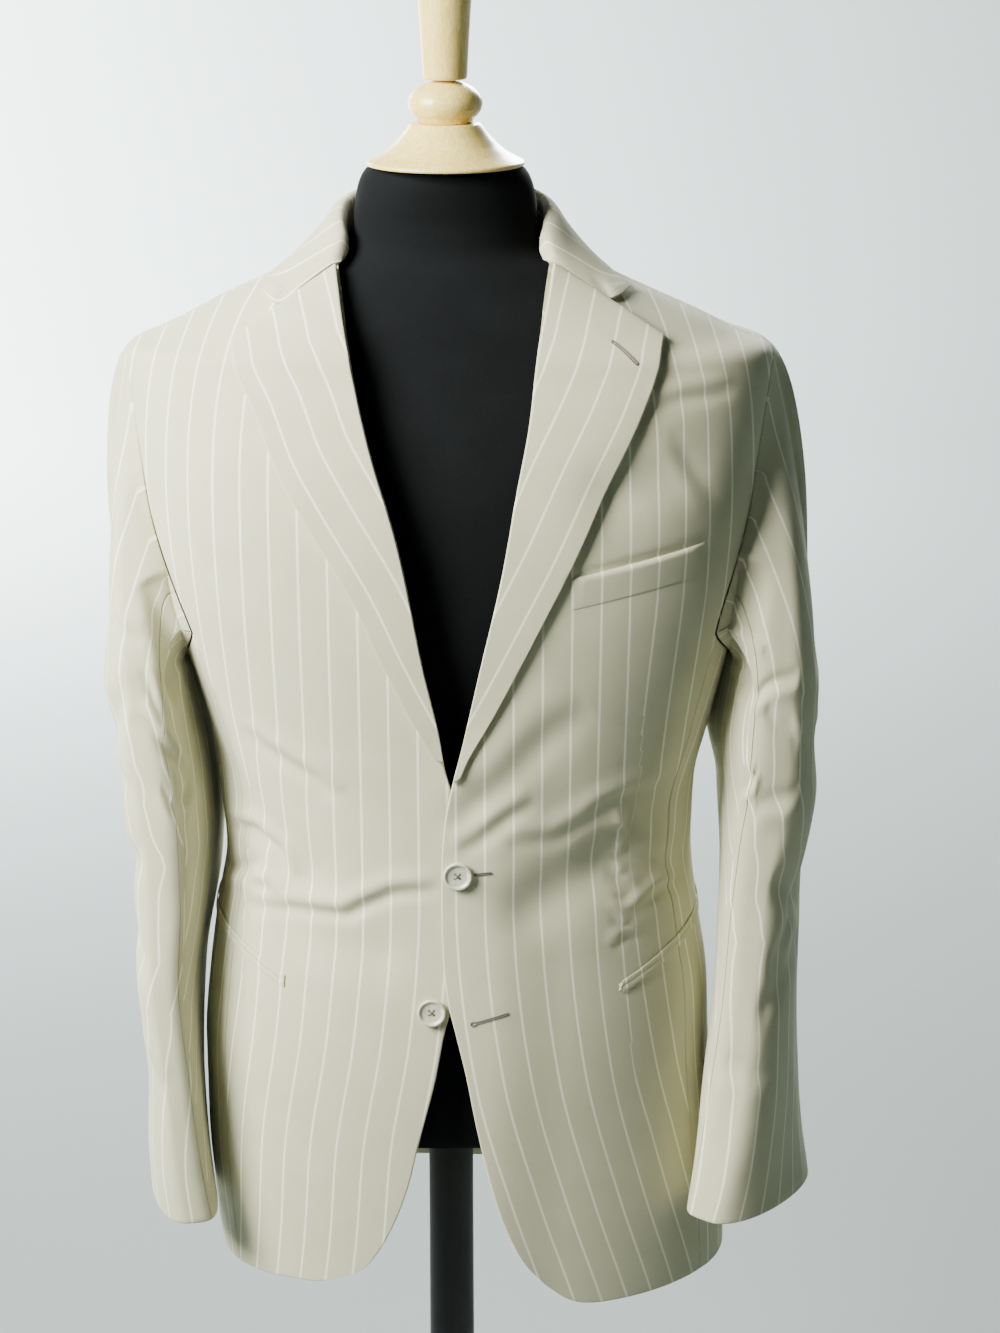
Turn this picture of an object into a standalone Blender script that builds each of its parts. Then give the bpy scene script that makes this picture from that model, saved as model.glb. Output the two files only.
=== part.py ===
"""A two-button suit jacket worn on a limbless dress form with a pole and a round base.

Metres, +Z up. The front faces -Y and the wearer's left is +X.
The origin is the centre of the base's underside.
"""

import math
from collections import namedtuple

import bmesh
import bpy
import numpy as np
from mathutils import Matrix, Vector

# Driving dimensions
WALL = 0.0020  # cloth of the body panels
SLEEVE_WALL = 0.0018
LAPEL_WALL = 0.0025  # two layers and canvas
COLLAR_WALL = 0.0025
SEAM = 0.00015  # half of the gap between two sewn pieces
LAY = 0.0008  # clearance of a piece that lies on a panel
OVERLAP_LIFT = 0.0042  # how far the left front stands out where it covers the right one
OVERLAP_FADE = 0.055  # width over which that lift fades
OVERLAP_BESIDE = 0.030  # X from which it fades
OVERLAP_ABOVE = 1.075  # height from which it fades
TOUCH = 0.0003  # gap between pieces that stand on each other

SEAM_ROWS = 15  # rows of points along a side seam
ARMHOLE_ROWS = 8  # rows along the armhole's front, and along its back
UNDERARM_COLUMNS = 5
SHOULDER_COLUMNS = 8
NECK_COLUMNS_FRONT = 2
NECK_COLUMNS_BACK = 4

SHOULDER_TIP = 1.372
NECK_POINT = 1.4475
BACK_NECK = 1.449
HEM_LEFT = 0.666
HEM_RIGHT = 0.674
HEM_BACK = 0.668
FRONT_SEAM_TURN = 62.0  # degrees round the body from the centre front
BACK_SEAM_TURN = 121.0
ARMHOLE_FRONT = -0.058  # the armhole's reach in Y
ARMHOLE_BACK = 0.076
ARMHOLE_LOW = 1.152
ARMHOLE_FRONT_FOOT = 1.176  # heights where the side seams meet the armhole
ARMHOLE_BACK_FOOT = 1.190
ARMHOLE_HEIGHT_POWER = 1.15  # the armhole's curve, in height, in Y and under the arm
ARMHOLE_DEPTH_POWER = 0.75
UNDERARM_POWER = 0.8
ARMHOLE_BLEND = 0.35  # share of its side over which it bends into the side seam

BASE_RADIUS = 0.19
POLE_LOW_RADIUS = 0.0185
POLE_TOP_RADIUS = 0.0170
TORSO_LOW = 0.785
NECK_TOP = 1.4955
TURN_STEPS = 28
BASE_STEPS = 40

# Turned pieces, as radius and height. The cap, the knob and the finial's foot start at their own undersides.
CAP_PROFILE = [
    (0.0, 0.0290),
    (0.0240, 0.0290),
    (0.0255, 0.0275),
    (0.0300, 0.0215),
    (0.0370, 0.0140),
    (0.0450, 0.0080),
    (0.0525, 0.0042),
    (0.0550, 0.0030),
    (0.0556, 0.0015),
    (0.0550, 0.0),
    (0.0, 0.0),
]
KNOB_HEIGHT = 0.0290
KNOB_MIDDLE = 0.0130
KNOB_BULGE = (0.0260, 0.0160)
KNOB_ARC = (70, -38, 10)  # degrees at the start and at the end, and points
KNOB_FOOT = [(0.0195, 0.0), (0.0, 0.0)]
FINIAL_TOP = 1.6600
FINIAL_BULGE = (0.0195, 0.0150)
FINIAL_ARC = (75, 0, 6)
FINIAL_SIDE = [(0.0185, 1.6080), (0.0170, 1.5850)]
FINIAL_FOOT = [(0.0155, 0.0030), (0.0150, 0.0), (0.0, 0.0)]
BASE_PROFILE = [
    (0.0, 0.0520),
    (0.0250, 0.0520),
    (0.0280, 0.0490),
    (0.0290, 0.0350),
    (0.0380, 0.0240),
    (0.0700, 0.0190),
    (BASE_RADIUS - 0.0200, 0.0150),
    (BASE_RADIUS - 0.0040, 0.0120),
    (BASE_RADIUS, 0.0070),
    (BASE_RADIUS, 0.0),
    (0.0, 0.0),
]

# Half widths and depths of the jacket's outer face at each height. Squareness 2 is an ellipse.
Ring = namedtuple("Ring", "height right left front back squareness")
JACKET = [
    Ring(0.640, 0.176, 0.213, 0.118, 0.126, 2.3),
    Ring(0.700, 0.181, 0.211, 0.120, 0.128, 2.3),
    Ring(0.778, 0.186, 0.203, 0.122, 0.130, 2.3),
    Ring(0.842, 0.186, 0.197, 0.123, 0.129, 2.3),
    Ring(0.900, 0.181, 0.194, 0.121, 0.123, 2.3),
    Ring(0.950, 0.174, 0.186, 0.118, 0.113, 2.3),
    Ring(1.000, 0.166, 0.181, 0.116, 0.104, 2.3),
    Ring(1.050, 0.171, 0.182, 0.116, 0.101, 2.35),
    Ring(1.100, 0.176, 0.193, 0.119, 0.105, 2.45),
    Ring(1.150, 0.189, 0.204, 0.123, 0.113, 2.6),
    Ring(1.200, 0.204, 0.213, 0.125, 0.121, 2.75),
    Ring(1.250, 0.214, 0.220, 0.124, 0.126, 2.8),
    Ring(1.300, 0.221, 0.226, 0.117, 0.126, 2.75),
    Ring(1.340, 0.226, 0.231, 0.105, 0.119, 2.6),
    Ring(1.362, 0.228, 0.233, 0.096, 0.112, 2.45),
    Ring(1.372, 0.224, 0.228, 0.092, 0.108, 2.4),
    Ring(1.380, 0.206, 0.206, 0.087, 0.104, 2.3),
    Ring(1.393, 0.180, 0.179, 0.079, 0.098, 2.2),
    Ring(1.406, 0.155, 0.150, 0.071, 0.090, 2.15),
    Ring(1.420, 0.124, 0.120, 0.063, 0.081, 2.1),
    Ring(1.435, 0.095, 0.092, 0.056, 0.069, 2.1),
    Ring(1.449, 0.0735, 0.0725, 0.050, 0.0605, 2.1),
    Ring(1.460, 0.071, 0.070, 0.049, 0.0585, 2.1),
]

FORM = [
    Ring(0.785, 0.164, 0.166, 0.100, 0.106, 2.2),
    Ring(0.850, 0.166, 0.170, 0.102, 0.110, 2.2),
    Ring(0.920, 0.158, 0.163, 0.101, 0.103, 2.2),
    Ring(1.000, 0.146, 0.152, 0.099, 0.088, 2.2),
    Ring(1.060, 0.147, 0.151, 0.098, 0.085, 2.2),
    Ring(1.130, 0.160, 0.163, 0.102, 0.094, 2.3),
    Ring(1.200, 0.176, 0.178, 0.106, 0.103, 2.4),
    Ring(1.270, 0.186, 0.187, 0.104, 0.108, 2.4),
    Ring(1.320, 0.189, 0.190, 0.094, 0.104, 2.3),
    Ring(1.352, 0.187, 0.188, 0.082, 0.095, 2.2),
    Ring(1.375, 0.180, 0.179, 0.073, 0.087, 2.1),
    Ring(1.3897, 0.170, 0.168, 0.068, 0.081, 2.1),
    Ring(1.4007, 0.157, 0.153, 0.063, 0.077, 2.1),
    Ring(1.4127, 0.131, 0.127, 0.057, 0.070, 2.1),
    Ring(1.4257, 0.101, 0.098, 0.051, 0.062, 2.1),
    Ring(1.436, 0.0745, 0.0735, 0.045, 0.053, 2.1),
    Ring(1.446, 0.0655, 0.0650, 0.043, 0.049, 2.1),
    Ring(1.457, 0.0645, 0.0640, 0.043, 0.049, 2.1),
    Ring(1.471, 0.0635, 0.0635, 0.045, 0.049, 2.1),
    Ring(1.486, 0.0600, 0.0600, 0.047, 0.050, 2.05),
    Ring(1.493, 0.0560, 0.0560, 0.045, 0.048, 2.0),
    Ring(1.4955, 0.0530, 0.0530, 0.043, 0.046, 2.0),
]
FORM_COLUMNS = 32
FORM_HEIGHTS = [
    0.80, 0.84, 0.88, 0.93, 0.98, 1.03, 1.08, 1.13, 1.18, 1.23, 1.28, 1.32, 1.345, 1.362, 1.375, 1.385,
    1.394, 1.403, 1.412, 1.421, 1.430, 1.440, 1.452, 1.465, 1.478, 1.487, 1.493,
]
FORM_LOW_SHARES = [0.94, 0.985]  # the two lowest rings are drawn in by these

# A crease or ridge between two places of a panel, seen from the front. Depth below the cloth is positive.
Fold = namedtuple("Fold", "x z to_x to_z depth reach")
FRONT_FOLDS = [
    Fold(-0.172, 1.070, -0.105, 1.005, 0.0055, 0.022),
    Fold(-0.110, 0.960, -0.050, 0.950, 0.0035, 0.020),
    Fold(0.062, 0.985, 0.150, 1.040, 0.0045, 0.021),
    Fold(0.115, 1.010, 0.176, 0.995, 0.0045, 0.020),
    Fold(0.115, 1.290, 0.170, 1.305, 0.0030, 0.022),
]
BACK_FOLDS = [
    Fold(-0.150, 1.060, -0.020, 1.030, 0.0045, 0.022),
    Fold(0.155, 1.070, 0.030, 1.040, 0.0045, 0.022),
    Fold(-0.110, 0.985, 0.100, 0.980, 0.0035, 0.022),
]

# The left front's edge above the hem corner, then the roll of its lapel up to the neck.
EdgePoint = namedtuple("EdgePoint", "x z")
LEFT_EDGE = [
    EdgePoint(0.0720, 0.6830),
    EdgePoint(0.0560, 0.7030),
    EdgePoint(0.0410, 0.7360),
    EdgePoint(0.0310, 0.7700),
    EdgePoint(0.0210, 0.8160),
    EdgePoint(0.0130, 0.8600),
    EdgePoint(0.0060, 0.8910),
    EdgePoint(0.0000, 0.9180),
    EdgePoint(-0.0040, 0.9800),
    EdgePoint(-0.0040, 1.0100),
    EdgePoint(-0.0015, 1.0480),
    EdgePoint(0.0040, 1.0780),
    EdgePoint(0.0120, 1.1100),
    EdgePoint(0.0240, 1.1640),
    EdgePoint(0.0390, 1.2310),
    EdgePoint(0.0490, 1.2880),
    EdgePoint(0.0575, 1.3320),
    EdgePoint(0.0640, 1.3820),
    EdgePoint(0.0700, 1.4100),
    EdgePoint(0.0785, 1.4345),
]
RIGHT_EDGE = [
    EdgePoint(-0.0840, 0.6860),
    EdgePoint(-0.0640, 0.6960),
    EdgePoint(-0.0530, 0.7100),
    EdgePoint(-0.0420, 0.7310),
    EdgePoint(-0.0300, 0.7640),
    EdgePoint(-0.0200, 0.8070),
    EdgePoint(-0.0090, 0.8510),
    EdgePoint(-0.0010, 0.8930),
    EdgePoint(0.0080, 0.9250),
    EdgePoint(0.0180, 0.9600),
    EdgePoint(0.0220, 1.0000),
    EdgePoint(0.0170, 1.0400),
    EdgePoint(0.0010, 1.0840),
    EdgePoint(-0.0050, 1.1190),
    EdgePoint(-0.0150, 1.1650),
    EdgePoint(-0.0320, 1.2540),
    EdgePoint(-0.0510, 1.3190),
    EdgePoint(-0.0600, 1.3560),
    EdgePoint(-0.0690, 1.4000),
    EdgePoint(-0.0795, 1.4345),
]
LEFT_HEM_CORNER = [EdgePoint(0.0890, 0.6690), EdgePoint(0.1030, 0.6640), EdgePoint(0.1230, 0.6630)]
RIGHT_HEM_CORNER = [EdgePoint(-0.0990, 0.6805), EdgePoint(-0.1150, 0.6790), EdgePoint(-0.1310, 0.6770)]

# Outer edge of each lapel from the top button's height up to its tip.
LEFT_LAPEL = [
    EdgePoint(0.0095, 1.0860),
    EdgePoint(0.0150, 1.0990),
    EdgePoint(0.0310, 1.1270),
    EdgePoint(0.0600, 1.1840),
    EdgePoint(0.0860, 1.2360),
    EdgePoint(0.1090, 1.2860),
    EdgePoint(0.1330, 1.3340),
    EdgePoint(0.1450, 1.3640),
    EdgePoint(0.1500, 1.3840),
]
RIGHT_LAPEL = [
    EdgePoint(-0.0065, 1.0975),
    EdgePoint(-0.0130, 1.1090),
    EdgePoint(-0.0220, 1.1260),
    EdgePoint(-0.0400, 1.1630),
    EdgePoint(-0.0630, 1.2140),
    EdgePoint(-0.0950, 1.2690),
    EdgePoint(-0.1140, 1.3030),
    EdgePoint(-0.1280, 1.3380),
    EdgePoint(-0.1420, 1.3660),
    EdgePoint(-0.1460, 1.3820),
]
LAPEL_LOW_LEFT = 1.0830
LAPEL_LOW_RIGHT = 1.0960
LAPEL_ROLL_TOP = EdgePoint(0.0742, 1.4370)  # the roll passes over the neck edge here
GORGE_TOP = 1.4310  # where the gorge seam meets the roll
LAPEL_PROUD = 0.0022  # how much further a lapel stands out at its top
GORGE_GAP = 0.0009
# Places in X along the gorge seam from the stand over the roll to the notch, and how far out each is.
COLLAR_END = ((0.0718, 0.0012), (0.0750, 0.0036), (0.0792, 0.0044), (0.0965, 0.0042), (0.1130, 0.0042))
COLLAR_TIP = EdgePoint(0.1285, 1.4125)

# One half of the collar. Turns are degrees round the neck from the centre front.
CollarRow = namedtuple("CollarRow", "turn neck_height rise edge_turn edge_height")
COLLAR = [
    CollarRow(53.0, 1.4370, 0.0030, 65.0, 1.4120),
    CollarRow(62.0, 1.4430, 0.0090, 76.0, 1.4200),
    CollarRow(90.0, 1.4480, 0.0180, 95.0, 1.4290),
    CollarRow(125.0, 1.4495, 0.0250, 125.0, 1.4330),
    CollarRow(155.0, 1.4500, 0.0290, 155.0, 1.4360),
    CollarRow(180.0, 1.4500, 0.0300, 180.0, 1.4370),
]
STAND_INSET = 0.0050  # how far the collar's stand is inside the neck edge
FALL_OUT = 0.0042  # how far the fall's outer face is from the cloth under it
STAND_DROP = 0.002  # how far its foot is below the neck edge
ROLL_IN_BELOW = 0.004  # the roll's inner side, below the rise
ROLL_TOP_AT = (-0.0008, 0.0012)  # the roll's top and outer side: out from the neck edge, up from the rise
ROLL_OUT_AT = (0.0042, -0.0008)
FALL_SHARES = (0.36, 0.70)  # two points on the way from the roll to the outer edge
COLLAR_COLUMNS = 26

# Sleeve rings below the underarm. Heading turns the long axis, its front end towards the body.
SleeveRing = namedtuple("SleeveRing", "height x y half_long half_thin heading")
LEFT_SLEEVE = [
    SleeveRing(1.135, 0.2355, -0.003, 0.0810, 0.0335, -6.0),
    SleeveRing(1.085, 0.2297, -0.006, 0.0800, 0.0355, -9.0),
    SleeveRing(1.045, 0.2350, -0.009, 0.0770, 0.0355, -3.0),
    SleeveRing(0.980, 0.2330, -0.014, 0.0740, 0.0310, 4.0),
    SleeveRing(0.900, 0.2310, -0.024, 0.0710, 0.0305, 8.0),
    SleeveRing(0.830, 0.2290, -0.038, 0.0680, 0.0322, 14.0),
    SleeveRing(0.770, 0.2290, -0.056, 0.0650, 0.0295, 27.0),
    SleeveRing(0.736, 0.2290, -0.067, 0.0620, 0.0285, 38.0),
]
RIGHT_SLEEVE = [
    SleeveRing(1.135, -0.2175, -0.003, 0.0830, 0.0308, -4.0),
    SleeveRing(1.085, -0.2075, -0.006, 0.0820, 0.0298, -9.0),
    SleeveRing(1.030, -0.2030, -0.010, 0.0790, 0.0305, -9.0),
    SleeveRing(0.980, -0.2018, -0.013, 0.0770, 0.0275, -8.0),
    SleeveRing(0.900, -0.2080, -0.022, 0.0740, 0.0228, -3.0),
    SleeveRing(0.830, -0.2068, -0.032, 0.0700, 0.0205, 3.0),
    SleeveRing(0.770, -0.2060, -0.041, 0.0660, 0.0230, 7.0),
    SleeveRing(0.731, -0.2030, -0.047, 0.0635, 0.0240, 10.0),
]
SLEEVE_SQUARENESS = 2.15
SLEEVE_EDGE_SQUARENESS = 4.2  # at the front, on the side towards the body
HEAD_RISE = 0.42  # how steeply the sleeve's head meets the arm, as a share of its span
HEAD_RISE_OUTER = 0.27  # the same on its outer side
HEAD_LEAVE = 0.22  # how far the head keeps the armhole's slope, as a share of its span
HEAD_LEAVE_OUTER = 0.16
HEAD_LEAN = 0.008  # how far the head's outer side leans towards the body
CAP_ROWS = 7
ARM_ROWS = 13
# Creases across a sleeve: place round it in degrees from its front, and height.
SLEEVE_FOLDS_LEFT = [
    Fold(20.0, 0.990, 80.0, 0.960, 0.0040, 0.013),
    Fold(95.0, 1.000, 30.0, 0.930, 0.0040, 0.013),
    Fold(100.0, 1.250, 60.0, 1.150, 0.0030, 0.016),
    Fold(20.0, 0.900, 70.0, 0.930, 0.0030, 0.013),
]
SLEEVE_FOLDS_RIGHT = [
    Fold(15.0, 1.130, 75.0, 1.060, 0.0040, 0.014),
    Fold(20.0, 1.010, 80.0, 0.990, 0.0045, 0.013),
    Fold(80.0, 0.960, 25.0, 0.930, 0.0040, 0.013),
    Fold(100.0, 1.260, 60.0, 1.180, 0.0030, 0.016),
]
FOLD_DEGREE = 0.00115  # length of one degree round a sleeve

# Jetted pockets and the breast welt: turn round the body in degrees and height of each end.
Slit = namedtuple("Slit", "turn height to_turn to_height bow")
POCKET_LEFT = Slit(38.3, 0.9165, 102.0, 0.9510, 0.0095)
POCKET_RIGHT = Slit(38.5, 0.9210, 102.0, 0.9520, 0.0095)
JET_WIDTH = 0.0045
JET_WALL = 0.0012
JET_CLEARANCE = 0.0008
WELT_LOW = (EdgePoint(0.0870, 1.2075), EdgePoint(0.1800, 1.2260))
WELT_HEIGHT = 0.0220
WELT_WALL = 0.0016

BUTTON_RADIUS = 0.0105
BUTTON_THICK = 0.0040
BUTTON_RIM = 0.0022
# Distance in from the edge in rims, and height in thicknesses, from the dish over the rim to the back.
BUTTON_PROFILE = [
    (1.50, 0.62),
    (0.90, 0.95),
    (0.45, 1.00),
    (0.10, 0.85),
    (0.00, 0.50),
    (0.57, 0.12),
    (1.19, 0.00),
]
BUTTON_UPPER = EdgePoint(0.0080, 1.0120)
BUTTON_LOWER = EdgePoint(-0.0110, 0.9070)

MATERIALS = {
    "suiting": ((0.62, 0.61, 0.50, 1.0), 0.85, 0.0),
    "horn": ((0.78, 0.76, 0.70, 1.0), 0.35, 0.0),
    "jersey": ((0.012, 0.013, 0.014, 1.0), 0.90, 0.0),
    "wood": ((0.80, 0.72, 0.50, 1.0), 0.40, 0.0),
    "enamel": ((0.010, 0.009, 0.009, 1.0), 0.30, 0.6),
}


def clear_scene():
    for item in list(bpy.data.objects):
        bpy.data.objects.remove(item, do_unlink=True)


class Curve:
    """A table's columns as smooth functions of its first column, with no overshoot."""

    def __init__(self, rows):
        table = np.array([tuple(row) for row in rows], float)
        self.place = table[:, 0]
        self.value = table[:, 1:]
        step = np.diff(self.place)[:, None]
        rise = np.diff(self.value, axis=0) / step
        slope = np.zeros_like(self.value)
        slope[1:-1] = 0.5 * (rise[:-1] + rise[1:])
        slope[0], slope[-1] = rise[0], rise[-1]
        limit = 3.0 * np.minimum(np.abs(rise[:-1]), np.abs(rise[1:]))
        turning = rise[:-1] * rise[1:] <= 0
        inner = np.clip(slope[1:-1], -limit, limit)
        slope[1:-1] = np.where(turning, 0.0, inner)
        self.slope = slope

    def __call__(self, at):
        at = np.clip(np.asarray(at, float), self.place[0], self.place[-1])
        low = np.clip(np.searchsorted(self.place, at, side="right") - 1, 0, len(self.place) - 2)
        width = (self.place[low + 1] - self.place[low])[..., None]
        part = (at - self.place[low])[..., None] / width
        start, end = self.value[low], self.value[low + 1]
        ease = part * part * (3.0 - 2.0 * part)
        lead = part * (1.0 - part) ** 2 * width * self.slope[low]
        trail = part * part * (1.0 - part) * width * self.slope[low + 1]
        return start * (1.0 - ease) + end * ease + lead - trail


def along(points):
    """A smooth curve through points, by share of its length."""
    table = np.array([tuple(point) for point in points], float)
    length = np.concatenate([[0.0], np.cumsum(np.linalg.norm(np.diff(table, axis=0), axis=1))])
    return Curve(np.column_stack([length / length[-1], table]))


JACKET_CURVE = Curve(JACKET)
FORM_CURVE = Curve(FORM)


def ring_point(curve, turn, height):
    """Point of a ringed body. Turn 0 is the centre front, and it grows towards +X."""
    right, left, front, back, squareness = np.moveaxis(curve(height), -1, 0)
    across, ahead = np.sin(turn), np.cos(turn)
    width = np.where(across > 0, left, right)
    depth = np.where(ahead > 0, front, back)
    x = width * np.sign(across) * np.abs(across) ** (2.0 / squareness)
    y = -depth * np.sign(ahead) * np.abs(ahead) ** (2.0 / squareness)
    return np.stack([x, y, np.broadcast_to(height, x.shape)], axis=-1)


def unit(vectors):
    length = np.linalg.norm(vectors, axis=-1, keepdims=True)
    return vectors / np.maximum(length, 1e-12)


def body_normal(turn, height):
    nudge, lift = 0.02, 0.002
    sideways = ring_point(JACKET_CURVE, turn + nudge, height) - ring_point(JACKET_CURVE, turn - nudge, height)
    upward = ring_point(JACKET_CURVE, turn, height + lift) - ring_point(JACKET_CURVE, turn, height - lift)
    return unit(np.cross(sideways, upward))


def fold_depth(folds, x, z):
    """Sum of the soft troughs at a place."""
    total = np.zeros(np.shape(x))
    for fold in folds:
        run_x, run_z = fold.to_x - fold.x, fold.to_z - fold.z
        share = ((x - fold.x) * run_x + (z - fold.z) * run_z) / (run_x**2 + run_z**2)
        share = np.clip(share, 0.0, 1.0)
        gap = np.hypot(x - fold.x - share * run_x, z - fold.z - share * run_z)
        total += fold.depth * np.exp(-((gap / fold.reach) ** 2))
    return total


def cloth_point(turn, height, out=0.0):
    """Point of the jacket's folded outer face, moved out along its normal."""
    turn, height = np.broadcast_arrays(np.asarray(turn, float), np.asarray(height, float))
    base = ring_point(JACKET_CURVE, turn, height)
    front = np.cos(turn) > 0
    sunk = np.where(
        front,
        fold_depth(FRONT_FOLDS, base[..., 0], base[..., 2]),
        fold_depth(BACK_FOLDS, base[..., 0], base[..., 2]),
    )
    sunk = sunk * np.minimum(1.0, np.abs(np.cos(turn)) * 2.5)
    return base + body_normal(turn, height) * (out - sunk)[..., None]


def turn_of_x(x, height):
    """Turn at which the front of the body has this X."""
    right, left, _, _, squareness = np.moveaxis(JACKET_CURVE(height), -1, 0)
    width = np.where(np.asarray(x) > 0, left, right)
    return np.sign(x) * np.arcsin(np.clip(np.abs(x) / width, 0, 1) ** (squareness / 2.0))


def turn_of_y(y, height, side):
    """Turn at which the body has this Y, on the side +1 or -1."""
    _, _, front, back, squareness = np.moveaxis(JACKET_CURVE(height), -1, 0)
    depth = np.where(np.asarray(y) < 0, front, back)
    ahead = -np.sign(y) * np.clip(np.abs(y) / depth, 0, 1) ** (squareness / 2.0)
    return side * np.arccos(ahead)


def overlap_lift(x, z):
    """How far the left front stands out over the right one."""
    beside = np.clip((x - OVERLAP_BESIDE) / OVERLAP_FADE, 0.0, 1.0)
    above = np.clip((z - OVERLAP_ABOVE) / OVERLAP_FADE, 0.0, 1.0)
    ease_beside = 1.0 - beside * beside * (3.0 - 2.0 * beside)
    ease_above = 1.0 - above * above * (3.0 - 2.0 * above)
    return OVERLAP_LIFT * ease_beside * ease_above


def armhole_outline(share, side):
    """Turn and height on the armhole, from its front foot (0) over the tip (0.5) to its back foot (1)."""
    share = np.asarray(share, float)
    ahead = share <= 0.5
    part = np.where(ahead, share * 2.0, (1.0 - share) * 2.0)
    foot = np.where(ahead, ARMHOLE_FRONT_FOOT, ARMHOLE_BACK_FOOT)
    height = foot + (SHOULDER_TIP - foot) * np.sin(part * math.pi / 2) ** ARMHOLE_HEIGHT_POWER
    reach = np.where(ahead, ARMHOLE_FRONT, ARMHOLE_BACK)
    y = reach * np.cos(part * math.pi / 2) ** ARMHOLE_DEPTH_POWER
    foot_turn = np.radians(np.where(ahead, FRONT_SEAM_TURN, BACK_SEAM_TURN))
    turn = np.abs(turn_of_y(y, height, 1.0))
    blend = np.clip(part / ARMHOLE_BLEND, 0.0, 1.0)
    blend = blend * blend * (3.0 - 2.0 * blend)
    return side * (foot_turn * (1.0 - blend) + turn * blend), height


def underarm_outline(share, side):
    """Turn and height from the armhole's front foot to its back foot, under the arm."""
    start_turn, start_height = armhole_outline(0.0, 1.0)
    end_turn, end_height = armhole_outline(1.0, 1.0)
    share = np.asarray(share, float)
    turn = start_turn + (end_turn - start_turn) * share
    level = start_height + (end_height - start_height) * share
    drop = 0.5 * (start_height + end_height) - ARMHOLE_LOW
    height = level - drop * np.sin(share * math.pi) ** UNDERARM_POWER
    return side * turn, height


def seam_line(turn, hem, foot_height, rows, side):
    """A seam from the hem up to the armhole, as turns and heights."""
    share = np.linspace(0.0, 1.0, rows + 1)
    height = hem + (foot_height - hem) * share
    return np.full(rows + 1, side * math.radians(turn)), height


def coons(bottom, top, left, right):
    """Places inside four outlines, each an array of two coordinates a row."""
    columns, rows = len(bottom), len(left)
    u = np.linspace(0.0, 1.0, columns)[None, :, None]
    v = np.linspace(0.0, 1.0, rows)[:, None, None]
    across = left[:, None, :] * (1 - u) + right[:, None, :] * u
    upright = bottom[None] * (1 - v) + top[None] * v
    corners = (
        bottom[0] * (1 - u) * (1 - v)
        + bottom[-1] * u * (1 - v)
        + top[0] * (1 - u) * v
        + top[-1] * u * v
    )
    return across + upright - corners


def to_plane(outline):
    """Turns and heights as X and Z."""
    points = ring_point(JACKET_CURVE, outline[..., 0], outline[..., 1])
    return points[..., [0, 2]]


def from_plane(places, side, ahead):
    """X and Z as turns and heights, on the body's front (ahead) or back."""
    right, left, _, _, squareness = np.moveaxis(JACKET_CURVE(places[..., 1]), -1, 0)
    width = left if side > 0 else right
    turn = np.arcsin(np.clip(np.abs(places[..., 0]) / width, 0, 1) ** (squareness / 2.0))
    turn = np.where(side * places[..., 0] < 0, -turn, turn)
    if not ahead:
        turn = math.pi - turn
    return np.stack([side * turn, places[..., 1]], axis=-1)


def row_shares(right):
    """Each row's share of the height, as on the side seam and armhole, where rows crowd at the shoulder."""
    return (right[:, 1] - right[0, 1]) / (right[-1, 1] - right[0, 1])


def join_outline(*pieces):
    """Outlines end to end, each later piece without its first point."""
    rows = [np.column_stack(piece) for piece in pieces]
    return np.vstack([rows[0]] + [row[1:] for row in rows[1:]])


def right_boundary(side, hem, seam_turn, ahead):
    """Side seam and armhole of a front (ahead) or a back."""
    foot = 0.0 if ahead else 1.0
    _, foot_height = armhole_outline(foot, side)
    seam = seam_line(seam_turn, hem, float(foot_height), SEAM_ROWS, side)
    shares = np.linspace(foot, 0.5, ARMHOLE_ROWS + 1)
    return join_outline(seam, armhole_outline(shares, side))


def shoulder_outline(side):
    """Shoulder seam from the neck to the tip."""
    share = np.linspace(0.0, 1.0, SHOULDER_COLUMNS + 1)
    height = NECK_POINT + (SHOULDER_TIP - NECK_POINT) * share
    return np.full(SHOULDER_COLUMNS + 1, side * math.pi / 2), height


def neck_run(start_turn, start_height, side, columns):
    """Neck edge from a place to the shoulder's neck point."""
    share = np.linspace(0.0, 1.0, columns + 1)
    turn = start_turn + (side * math.pi / 2 - start_turn) * share
    height = start_height + (NECK_POINT - start_height) * share
    return turn, height


def front_outline(side, edge, corner, hem):
    right = to_plane(right_boundary(side, hem, FRONT_SEAM_TURN, True))
    left = along(edge)(row_shares(right))
    start_turn = turn_of_x(left[-1][0], left[-1][1])
    neck = neck_run(start_turn, left[-1][1], side, NECK_COLUMNS_FRONT)
    top = to_plane(join_outline(neck, shoulder_outline(side)))
    top[0] = left[-1]
    hem_points = [edge[0]] + list(corner) + [EdgePoint(*right[0])]
    bottom = along(hem_points)(np.linspace(0.0, 1.0, len(top)))
    return from_plane(coons(bottom, top, left, right), side, True)


def back_outline(side, hem):
    right = to_plane(right_boundary(side, hem, BACK_SEAM_TURN, False))
    neck = neck_run(side * math.pi, BACK_NECK, side, NECK_COLUMNS_BACK)
    top = to_plane(join_outline(neck, shoulder_outline(side)))
    height = HEM_BACK + (BACK_NECK - HEM_BACK) * row_shares(right)
    left = np.column_stack([np.zeros(len(right)), height])
    top[0] = left[-1]
    spread = np.linspace(0.0, 1.0, len(top))
    bottom = np.column_stack([right[0][0] * spread, HEM_BACK + (hem - HEM_BACK) * spread])
    return from_plane(coons(bottom, top, left, right), side, False)


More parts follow.
